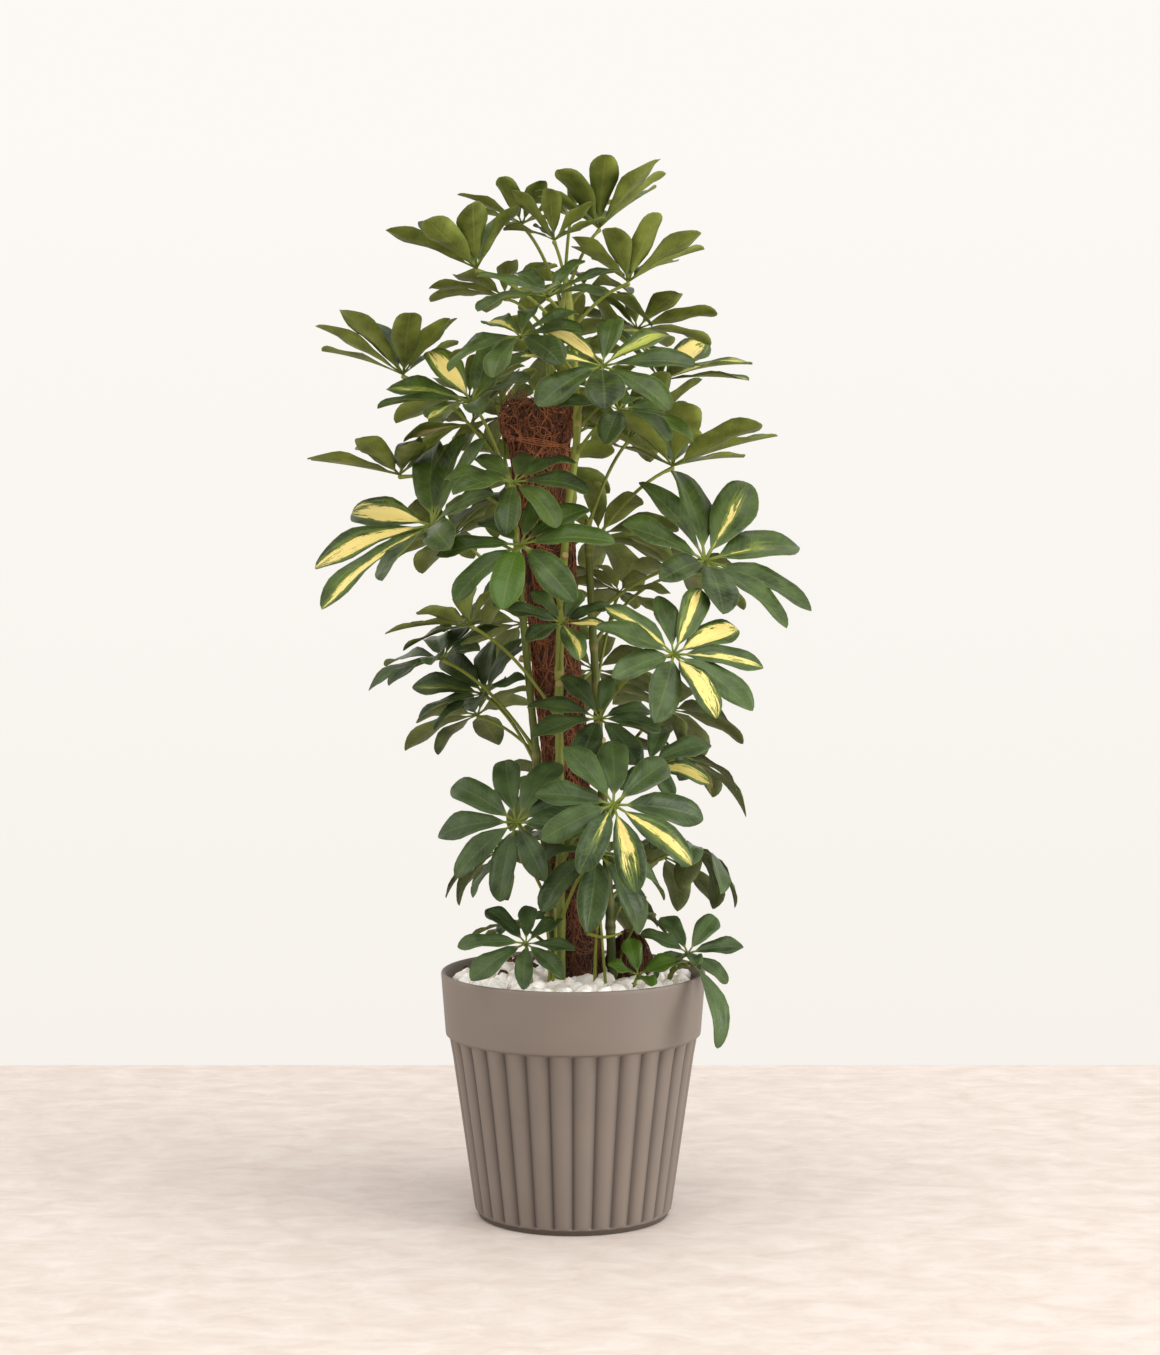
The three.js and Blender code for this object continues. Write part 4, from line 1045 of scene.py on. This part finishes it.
def stem_lines(owner):
    path = stem_path(STEMS[owner][0])
    foot_radius, tip_radius = STEMS[owner][1]
    heights = [leaf["foot"][2] for leaf in plant if leaf["owner"] == owner]
    low, high = path(0)[2], path(1)[2]
    steps = max(int((high - low) / STEM_STEP), 6)
    places, edges = [], []
    traits = {"thick": [], "knob": [], "young": [], "scar": []}

    def draw(step, place, radius, young, scar=0, knob=0):
        """Add one point, joined to the last one unless it is a line's first."""
        if step:
            edges.append((len(places) - 1, len(places)))
        places.append(place)
        for trait, value in zip(traits, (radius * MM, knob, young, scar)):
            traits[trait].append(value)

    for i in range(steps + 1):
        share = i / steps
        place = path(share)
        gaps = [abs(place[2] - height) for height in heights]
        at_leaf = sum(math.exp(-(gap / SWELL_REACH) ** 2) for gap in gaps)
        radius = foot_radius + (tip_radius - foot_radius) * share
        radius *= 1 + 0.2 * min(at_leaf, 1.4) + 0.04 * math.sin(i * 2.1)
        if high - place[2] < TIP_LENGTH:
            radius *= 0.75
        draw(i, place, radius, np.interp(place[2], (200, 900), YOUTH.get(owner, (0.5, 0.8))),
             scar=0.35 * sum(math.exp(-((gap - SCAR_RISE) / SCAR_WIDTH) ** 2) for gap in gaps))
    for leaf in (leaf for leaf in plant if leaf["owner"] == owner):
        foot = leaf["foot"]
        end = leaf["hub"] - leaf["up"] * HUB_HEIGHT
        reach = leaf["hub"] - foot
        bowed = foot + reach * 0.5 + np.array([0, 0, 0.2 * np.linalg.norm(reach)])
        for i in range(STALK_STEPS + 1):
            t = i / STALK_STEPS
            place = (1 - t) ** 2 * foot + 2 * t * (1 - t) * bowed + t * t * end
            swollen = 0.9 * math.exp(-(t / 0.07) ** 2) + 0.45 * math.exp(-((1 - t) / 0.06) ** 2)
            at_end = i == STALK_STEPS
            draw(i, place, STALK_RADIUS * (1 + swollen), 0.65 + 0.3 * t, scar=0.15 if at_end else 0,
                 knob=KNOB_RADIUS * MM if at_end else 0)
    for points in YOUNG_SHOOTS.get(owner, []):
        shoot = stem_path(points)
        for i in range(SHOOT_STEPS + 1):
            draw(i, shoot(i / SHOOT_STEPS), 2.1 - 0.1 * i, 0.9)
    for height, azimuth in PEGS.get(owner, []):
        foot = point_at_height(path, height)
        out = np.array([math.cos(math.radians(azimuth)), math.sin(math.radians(azimuth)), 0.35])
        for i, (reach, radius) in enumerate(PEG_RINGS):
            draw(i, foot + out * reach, radius, 0.5, scar=0.4 + 0.3 * i)
    return bare_mesh(owner, [place * MM for place in places], edges, **traits)


# %% Grow every stem
for owner in STEMS:
    piece = grow(owner.replace("stem_", "cane_").replace("shoot_", "sprout_") + "_stalks", stem_lines(owner),
                 skin_tree, cane_finish)
    place_piece(piece, "leaf", owner)

# %% [markdown]
# ## Leaflets
# A leaflet is a leathery blade on a short thick stalk: widest past its middle, round at the tip, folded a
# little along its midrib, and bent over in an arc. A flat grid with five points across and twelve along is
# enough for it. The tree bends the grid along the arc that the CAD model gives, mixes its outline from two
# curves, and then gives it a thickness, so that it has an upper side and an underside of its own.

# %% The outlines of a blade: blunt on young growth, more pointed on old
BLUNT_OUTLINE = [
    (0, 0.085), (0.1, 0.06), (0.15, 0.09), (0.2, 0.24), (0.3, 0.5), (0.42, 0.73), (0.55, 0.91), (0.67, 1.0),
    (0.78, 0.97), (0.88, 0.8), (0.95, 0.52), (0.985, 0.28), (1, 0.0),
]
POINTED_OUTLINE = [
    (0, 0.085), (0.1, 0.06), (0.15, 0.1), (0.2, 0.3), (0.3, 0.62), (0.42, 0.85), (0.55, 0.98), (0.63, 1.0),
    (0.74, 0.93), (0.84, 0.76), (0.92, 0.5), (0.97, 0.25), (1, 0.0),
]


def draw_curve(float_curve, points):
    curve = float_curve.mapping.curves[0]
    curve.points[0].location = points[0]
    curve.points[1].location = points[-1]
    for x, y in points[1:-1]:
        curve.points.new(x, y)
    float_curve.mapping.update()


# %% Bend and outline the grid
leaflet_tree, node, given = new_tree("Leaflets", {
    "Fold": 0.3, "Margin wave": 0.0026, "Uneven outline": 0.07, "Blade thickness": 0.0005,
    "Stalk thickness": 0.0015,
})
grid = node("GeometryNodeMeshGrid", {"Size X": 1.0, "Size Y": 1.0, "Vertices X": 5, "Vertices Y": 12})
place = node("GeometryNodeInputPosition")
split = node("ShaderNodeSeparateXYZ", {0: place})
from_tip = node("ShaderNodeMath", {0: 0.5, 1: split.outputs[1]}, operation="SUBTRACT")
safe = node("ShaderNodeMath", {0: from_tip, 1: 0.0}, operation="MAXIMUM")
eased = node("ShaderNodeMath", {0: safe, 1: 1.6}, operation="POWER")
along_value = node("ShaderNodeMath", {0: 1.0, 1: eased}, operation="SUBTRACT")
across_value = node("ShaderNodeMath", {0: split.outputs[0], 1: -2.0}, operation="MULTIPLY")
blade = grid
for name, value in (("along", along_value), ("across", across_value)):
    blade = node("GeometryNodeStoreNamedAttribute", {"Geometry": blade, "Name": name, "Value": value},
                 data_type="FLOAT", domain="POINT")
blades = node("GeometryNodeInstanceOnPoints", {"Points": given["Geometry"], "Instance": blade})
real = node("GeometryNodeRealizeInstances", {0: blades})
trait_kinds = {
    "FLOAT": ("along", "across", "bend", "roll", "length", "breadth", "blunt", "seed"),
    "FLOAT_VECTOR": ("hub", "start", "over", "side"),
}
trait = {}
for kind, names in trait_kinds.items():
    for name in names:
        trait[name] = node("GeometryNodeInputNamedAttribute", {"Name": name}, data_type=kind)
angle = node("ShaderNodeMath", {0: trait["bend"], 1: trait["along"]}, operation="MULTIPLY")
sine = node("ShaderNodeMath", {0: angle}, operation="SINE")
cosine = node("ShaderNodeMath", {0: angle}, operation="COSINE")
start_s = node("ShaderNodeVectorMath", {0: trait["start"], "Scale": sine}, operation="SCALE")
start_c = node("ShaderNodeVectorMath", {0: trait["start"], "Scale": cosine}, operation="SCALE")
over_s = node("ShaderNodeVectorMath", {0: trait["over"], "Scale": sine}, operation="SCALE")
over_c = node("ShaderNodeVectorMath", {0: trait["over"], "Scale": cosine}, operation="SCALE")
lift = node("ShaderNodeVectorMath", {0: over_c, 1: start_s}, operation="ADD")
ahead = node("ShaderNodeVectorMath", {0: start_c, 1: over_s}, operation="SUBTRACT")
rise = node("ShaderNodeVectorMath", {0: lift, 1: trait["over"]}, operation="SUBTRACT")
radius = node("ShaderNodeMath", {0: trait["length"], 1: trait["bend"]}, operation="DIVIDE")
reach = node("ShaderNodeVectorMath", {0: rise, "Scale": radius}, operation="SCALE")
spine = node("ShaderNodeVectorMath", {0: trait["hub"], 1: reach}, operation="ADD")
twist = node("ShaderNodeMath", {0: trait["roll"], 1: trait["along"]}, operation="MULTIPLY")
level = node("ShaderNodeVectorRotate", {"Vector": trait["side"], "Axis": ahead, "Angle": twist})
top = node("ShaderNodeVectorRotate", {"Vector": lift, "Axis": ahead, "Angle": twist})
blunt_outline = node("ShaderNodeFloatCurve", {"Value": trait["along"]})
pointed_outline = node("ShaderNodeFloatCurve", {"Value": trait["along"]})
draw_curve(blunt_outline, BLUNT_OUTLINE)
draw_curve(pointed_outline, POINTED_OUTLINE)
outline = node("ShaderNodeMix", {0: trait["blunt"], 2: pointed_outline, 3: blunt_outline})
widest = node("ShaderNodeMath", {0: trait["length"], 1: trait["breadth"]}, operation="MULTIPLY")
uneven_at = node("ShaderNodeMath", {0: trait["along"], 1: 8.0, 2: trait["seed"]}, operation="MULTIPLY_ADD")
uneven_turn = node("ShaderNodeMath", {0: trait["across"], 1: 0.9, 2: uneven_at}, operation="MULTIPLY_ADD")
uneven_wave = node("ShaderNodeMath", {0: uneven_turn}, operation="SINE")
uneven = node("ShaderNodeMath", {0: uneven_wave, 1: given["Uneven outline"], 2: 1.0},
              operation="MULTIPLY_ADD")
smooth_half = node("ShaderNodeMath", {0: widest, 1: outline}, operation="MULTIPLY")
half = node("ShaderNodeMath", {0: smooth_half, 1: uneven}, operation="MULTIPLY")
sideways = node("ShaderNodeMath", {0: half, 1: trait["across"]}, operation="MULTIPLY")
to_edge = node("ShaderNodeMath", {0: trait["across"]}, operation="ABSOLUTE")
folded = node("ShaderNodeMath", {0: half, 1: given["Fold"]}, operation="MULTIPLY")
edge_height = node("ShaderNodeMath", {0: folded, 1: to_edge}, operation="MULTIPLY")
ripple_at = node("ShaderNodeMath", {0: trait["along"], 1: 11.0, 2: trait["seed"]}, operation="MULTIPLY_ADD")
ripple_turn = node("ShaderNodeMath", {0: trait["across"], 1: 1.3, 2: ripple_at}, operation="MULTIPLY_ADD")
ripple = node("ShaderNodeMath", {0: ripple_turn}, operation="SINE")
edge_square = node("ShaderNodeMath", {0: to_edge, 1: outline}, operation="MULTIPLY")
ripple_size = node("ShaderNodeMath", {0: edge_square, 1: given["Margin wave"]}, operation="MULTIPLY")
rippled = node("ShaderNodeMath", {0: ripple, 1: ripple_size, 2: edge_height}, operation="MULTIPLY_ADD")
aside = node("ShaderNodeVectorMath", {0: level, "Scale": sideways}, operation="SCALE")
upward = node("ShaderNodeVectorMath", {0: top, "Scale": rippled}, operation="SCALE")
offset = node("ShaderNodeVectorMath", {0: aside, 1: upward}, operation="ADD")
final = node("ShaderNodeVectorMath", {0: spine, 1: offset}, operation="ADD")
shaped = node("GeometryNodeSetPosition", {"Geometry": real, "Position": final})

# %% Give the blade its thickness and its two sides
flipped = node("GeometryNodeFlipFaces", {0: shaped})
underside = node("GeometryNodeStoreNamedAttribute", {"Geometry": flipped, "Name": "under", "Value": 1.0},
                 data_type="FLOAT", domain="FACE")
upper = node("GeometryNodeStoreNamedAttribute", {"Geometry": shaped, "Name": "under", "Value": 0.0},
             data_type="FLOAT", domain="FACE")
thickness = node("ShaderNodeMapRange", {
    "Value": trait["along"], "From Min": 0.12, "From Max": 0.26, "To Min": given["Stalk thickness"],
    "To Max": given["Blade thickness"],
})
thickened = node("GeometryNodeExtrudeMesh", {"Mesh": upper, "Offset Scale": thickness, "Individual": False})
both = node("GeometryNodeJoinGeometry", {0: thickened})
fill(both, {0: underside})
sewn = node("GeometryNodeMergeByDistance", {"Geometry": both, "Distance": 0.00002})
smooth = node("GeometryNodeSetShadeSmooth", {0: sewn})
end_tree(node, smooth, given["Finish"])

# %% [markdown]
# The finish of a blade: thick leathery leaf with a waxy skin. The upper side is deep green with a satin
# shine, greyer on the old leaves lower down, and the underside is paler and duller, and painted paler
# still for the light that shines through the blade. A pale midrib runs to the tip, and faint side veins
# leave it at a slant. Some leaflets carry the cream blotches of a variegated plant: a blotch follows a
# line along the blade, its sides and its end are ragged tongues, green islands stay in it, and a seam of
# yellow-green runs round it.

# %% Leathery leaf: where veins and margin lie
leaf_finish, node, shader = new_finish("leathery variegated leaf")
seen = {}
for name in ("along", "across", "under", "cream", "shift", "end", "warmth", "tone", "fresh", "seed"):
    seen[name] = node("ShaderNodeAttribute", attribute_name=name).outputs["Fac"]
where = node("ShaderNodeTexCoord").outputs["Object"]
to_edge = node("ShaderNodeMath", {0: seen["across"]}, operation="ABSOLUTE")
midrib = node("ShaderNodeMapRange", {"Value": to_edge, "From Min": 0.02, "From Max": 0.11, "To Min": 1.0,
                                     "To Max": 0.0}, interpolation_type="SMOOTHSTEP")
margin = node("ShaderNodeMapRange", {"Value": to_edge, "From Min": 0.93, "From Max": 0.99})
slant = node("ShaderNodeMath", {0: to_edge, 1: -0.16, 2: seen["along"]}, operation="MULTIPLY_ADD")
vein_turn = node("ShaderNodeMath", {0: slant, 1: 88.0}, operation="MULTIPLY")
vein_wave = node("ShaderNodeMath", {0: vein_turn}, operation="SINE")
veins = node("ShaderNodeMapRange", {"Value": vein_wave, "From Min": 0.8, "From Max": 1.0})

# %% Leathery leaf: where the cream blotches lie
leaf_map = node("ShaderNodeCombineXYZ", {0: seen["across"], 1: seen["along"], 2: seen["seed"]})
long_map = node("ShaderNodeMapping", {"Vector": leaf_map, "Scale": (3.0, 1.2, 1.0)})
tongue_map = node("ShaderNodeMapping", {"Vector": leaf_map, "Scale": (8.0, 1.6, 1.0)})
fleck_map = node("ShaderNodeMapping", {"Vector": leaf_map, "Scale": (9.0, 7.0, 1.0)})
broad = node("ShaderNodeTexNoise", {"Vector": long_map, "Scale": 1.0, "Detail": 3})
tongues = node("ShaderNodeTexNoise", {"Vector": tongue_map, "Scale": 1.0, "Detail": 4})
flecks = node("ShaderNodeTexNoise", {"Vector": fleck_map, "Scale": 1.0, "Detail": 5, "Roughness": 0.65})
drift = node("ShaderNodeMath", {0: seen["along"], 1: seen["shift"]}, operation="MULTIPLY")
from_line = node("ShaderNodeMath", {0: seen["across"], 1: drift}, operation="SUBTRACT")
distance = node("ShaderNodeMath", {0: from_line}, operation="ABSOLUTE")
uneven = node("ShaderNodeMath", {0: broad, 1: 1.0, 2: -0.5}, operation="MULTIPLY_ADD")
room = node("ShaderNodeMath", {0: uneven, 1: seen["cream"]}, operation="ADD")
side_edge = node("ShaderNodeMath", {0: room, 1: distance}, operation="SUBTRACT")
left = node("ShaderNodeMath", {0: seen["end"], 1: seen["along"]}, operation="SUBTRACT")
tongued = node("ShaderNodeMath", {0: tongues, 1: 0.8, 2: left}, operation="MULTIPLY_ADD")
end_edge = node("ShaderNodeMath", {0: tongued, 1: -0.4}, operation="ADD")
inside = node("ShaderNodeMath", {0: side_edge, 1: end_edge}, operation="MINIMUM")
islands = node("ShaderNodeMapRange", {"Value": flecks, "From Min": 0.5, "From Max": 0.75, "To Min": 0.0,
                                      "To Max": 0.45})
edge_of = node("ShaderNodeMath", {0: inside, 1: islands}, operation="SUBTRACT")
allowed = node("ShaderNodeMath", {0: seen["cream"], 1: 0.02}, operation="GREATER_THAN")
cream_raw = node("ShaderNodeMapRange", {"Value": edge_of, "From Min": 0.0, "From Max": 0.04})
cream = node("ShaderNodeMath", {0: cream_raw, 1: allowed}, operation="MULTIPLY")
seam_raw = node("ShaderNodeMapRange", {"Value": edge_of, "From Min": -0.24, "From Max": 0.02,
                                       "To Max": 0.65})
seam = node("ShaderNodeMath", {0: seam_raw, 1: allowed}, operation="MULTIPLY")

# %% Leathery leaf: its colours and shine
# the underside greens are partly painted light: their own paler green, raised further to stand in for light
# shining through the blade
GREENS = {
    "young upper": ("#121C07", "#42541F"), "old upper": ("#17210F", "#4A5D36"),
    "young under": ("#424D1A", "#7C8639"), "old under": ("#374224", "#667141"),
}
clouds = node("ShaderNodeTexNoise", {"Vector": where, "Scale": 45, "Detail": 3})
patches = node("ShaderNodeMath", {0: clouds, 1: 1.8, 2: -0.4}, operation="MULTIPLY_ADD")
toned = node("ShaderNodeMath", {0: patches, 1: seen["tone"]}, operation="ADD")
green = {}
for name, (dark, light) in GREENS.items():
    green[name] = node("ShaderNodeMix", {0: toned, 6: linear(dark), 7: linear(light)}, data_type="RGBA",
                       clamp_factor=True)
split = node("ShaderNodeSeparateXYZ", {0: where})
height = node("ShaderNodeMapRange", {"Value": split.outputs[2], "From Min": 0.5, "From Max": 0.84})
upper = node("ShaderNodeMix", {0: height, 6: green["old upper"], 7: green["young upper"]}, data_type="RGBA")
bright = node("ShaderNodeMix", {0: seen["fresh"], 6: upper, 7: linear("#3B5415")}, data_type="RGBA")
upper_rib = node("ShaderNodeMath", {0: midrib, 1: 0.16}, operation="MULTIPLY")
upper_veins = node("ShaderNodeMath", {0: veins, 1: 0.1, 2: upper_rib}, operation="MULTIPLY_ADD")
lined = node("ShaderNodeMath", {0: margin, 1: 0.3, 2: upper_veins}, operation="MULTIPLY_ADD")
veined = node("ShaderNodeMix", {0: lined, 6: bright, 7: linear("#76864A")}, data_type="RGBA")
seamed = node("ShaderNodeMix", {0: seam, 6: veined, 7: linear("#7F8C36")}, data_type="RGBA")
pale = node("ShaderNodeMix", {0: broad, 6: linear("#CFB65E"), 7: linear("#DFD089")}, data_type="RGBA")
warmed = node("ShaderNodeMix", {0: seen["warmth"], 6: linear("#8D9636"), 7: pale}, data_type="RGBA")
blotched = node("ShaderNodeMix", {0: cream, 6: seamed, 7: warmed}, data_type="RGBA")
# underside colour: paler green of its own, painted paler still for light shining through the blade
lower = node("ShaderNodeMix", {0: height, 6: green["old under"], 7: green["young under"]}, data_type="RGBA")
under_rib = node("ShaderNodeMath", {0: midrib, 1: 0.2}, operation="MULTIPLY")
under_veins = node("ShaderNodeMath", {0: veins, 1: 0.12, 2: under_rib}, operation="MULTIPLY_ADD")
under_veined = node("ShaderNodeMix", {0: under_veins, 6: lower, 7: linear("#8E9A55")}, data_type="RGBA")
show_through = node("ShaderNodeMath", {0: cream, 1: 0.75}, operation="MULTIPLY")
under_blotched = node("ShaderNodeMix", {0: show_through, 6: under_veined, 7: warmed}, data_type="RGBA")
sided = node("ShaderNodeMix", {0: seen["under"], 6: blotched, 7: under_blotched}, data_type="RGBA")
is_stalk = node("ShaderNodeMapRange", {"Value": seen["along"], "From Min": 0.13, "From Max": 0.2,
                                       "To Min": 1.0, "To Max": 0.0})
stalked = node("ShaderNodeMix", {0: is_stalk, 6: sided, 7: linear("#6E7A30")}, data_type="RGBA")
gloss = node("ShaderNodeMapRange", {"Value": seen["under"], "To Min": 0.34, "To Max": 0.6})
sunk = node("ShaderNodeMath", {0: midrib, 1: -1.0}, operation="MULTIPLY")
sunk_veins = node("ShaderNodeMath", {0: veins, 1: -0.6, 2: sunk}, operation="MULTIPLY_ADD")
hills = node("ShaderNodeTexNoise", {"Vector": where, "Scale": 85, "Detail": 2})
hide = node("ShaderNodeMath", {0: hills, 1: 2.6, 2: sunk_veins}, operation="MULTIPLY_ADD")
relief = node("ShaderNodeBump", {"Height": hide, "Strength": 0.45, "Distance": 0.5 * MM})
fill(shader, {"Base Color": stalked, "Roughness": gloss, "Normal": relief, "IOR": 1.45,
              "Specular IOR Level": 0.24})

# %% [markdown]
# Which leaflets are variegated is a fact of this plant, so it is a table: for a leaf, its leaflets with
# how much of the width is cream, how far the blotch leans to one side, where along the blade it ends, and
# how warm the cream is. Shorter tables name the leaves that are still fresh green, and those whose blades
# are broader or narrower than usual.

# %% The variegated leaflets
CREAM = {
    5: {1: (0.4, 0.2, 1, 0.6)},
    6: {0: (0.7, 0.2, 1, 1), 1: (0.5, 0.3, 1, 1), 6: (0.5, 0, 1, 0.1)},
    9: {2: (0.5, 0, 1, 0.15), 3: (0.45, 0.3, 1, 0.35), 4: (0.7, 0.2, 1, 1), 5: (0.4, 0.2, 1, 0.7)},
    12: {3: (0.25, 0.3, 1, 0.8), 4: (0.6, -0.1, 1, 1)},
    13: {2: (0.15, 0, 0.5, 0.5), 3: (0.5, -0.1, 0.7, 1), 4: (0.42, 0.2, 1, 1)},
    17: {2: (0.65, 0.1, 1, 1), 3: (0.14, 0.1, 0.9, 0.6), 5: (0.35, 0.2, 1, 0.5)},
    18: {5: (0.35, 0, 1, 0.8)},
    20: {3: (0.6, -0.1, 1, 1), 4: (0.6, 0.1, 1, 1), 5: (0.35, 0.1, 1, 1)},
    23: {5: (0.12, 0.2, 1, 0.2)},
    28: {4: (0.07, 0, 0.5, 0.5), 5: (0.14, 0, 0.68, 1)},
    29: {0: (0.3, 0.2, 1, 0.8), 4: (0.55, 0.2, 1, 1), 6: (0.14, 0.1, 1, 0.8), 7: (0.62, 0.1, 1, 1),
         8: (0.4, 0.2, 1, 1)},
    31: {2: (0.6, 0.1, 1, 0.75)},
    32: {4: (0.45, 0.1, 1, 0.5)},
}
FRESH = {60: 1, 10: 0.3, 58: 0.15, 13: 0.12, 14: 0.12}
FRESHEST = (10, 3)
BREADTH = {59: 0.115, 60: 0.27, 58: 0.18, 20: 0.148}
USUAL_BREADTH = 0.168
FIRST_FOLIAGE_SEED = 9000


# %% Grow the leaflets of every stem
def leaflet_rows(leaf):
    """One row of traits for each leaflet. Chance gives each its breadth, its outline and its own green."""
    number = leaf["number"]
    chance = seeded_random(FIRST_FOLIAGE_SEED + number)
    leaf_tone = next(chance) * 0.56 - 0.28
    young_growth = np.interp(leaf["hub"][2], (320, 350, 700, 1000), (0.5, 0, 0, 1))
    for k, arc in leaf["arcs"].items():
        cream, shift, end, warmth = CREAM.get(number, {}).get(k, (0, 0, 1, 1))
        yield {
            **arc, "hub": leaf["hub"] * MM, "length": arc["length"] * MM,
            "breadth": BREADTH.get(number, USUAL_BREADTH) * (0.92 + 0.18 * next(chance)),
            "blunt": min(young_growth + 0.4 * next(chance), 1), "seed": next(chance) * 6.28,
            "cream": cream, "shift": shift, "end": end, "warmth": warmth,
            "tone": leaf_tone + next(chance) * 0.5 - 0.25,
            "fresh": 1 if (number, k) == FRESHEST else FRESH.get(number, 0),
        }


for owner in STEMS:
    leaflets = [row for leaf in plant if leaf["owner"] == owner for row in leaflet_rows(leaf)]
    traits = {name: [row[name] for row in leaflets] for name in leaflets[0]}
    piece = grow(owner.replace("stem_", "foliage_").replace("shoot_", "foliage_low_") + "_leaflets",
                 bare_mesh(owner, traits["hub"], **traits), leaflet_tree, leaf_finish)
    place_piece(piece, "leaf", owner)

# %% [markdown]
# ## The last step
# Dressing the plant doesn't change its size, so the boxes of the CAD model and the visual model are
# kept together, and the visual box is printed as the CAD box was at the start.

# %% Gather both boxes and print the visual one
seen_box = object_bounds()
sizes = {"cad": [list(corner) for corner in cad_box], "visual": [list(corner) for corner in seen_box]}
print("visual box in mm:", [[round(v / MM) for v in corner] for corner in seen_box])
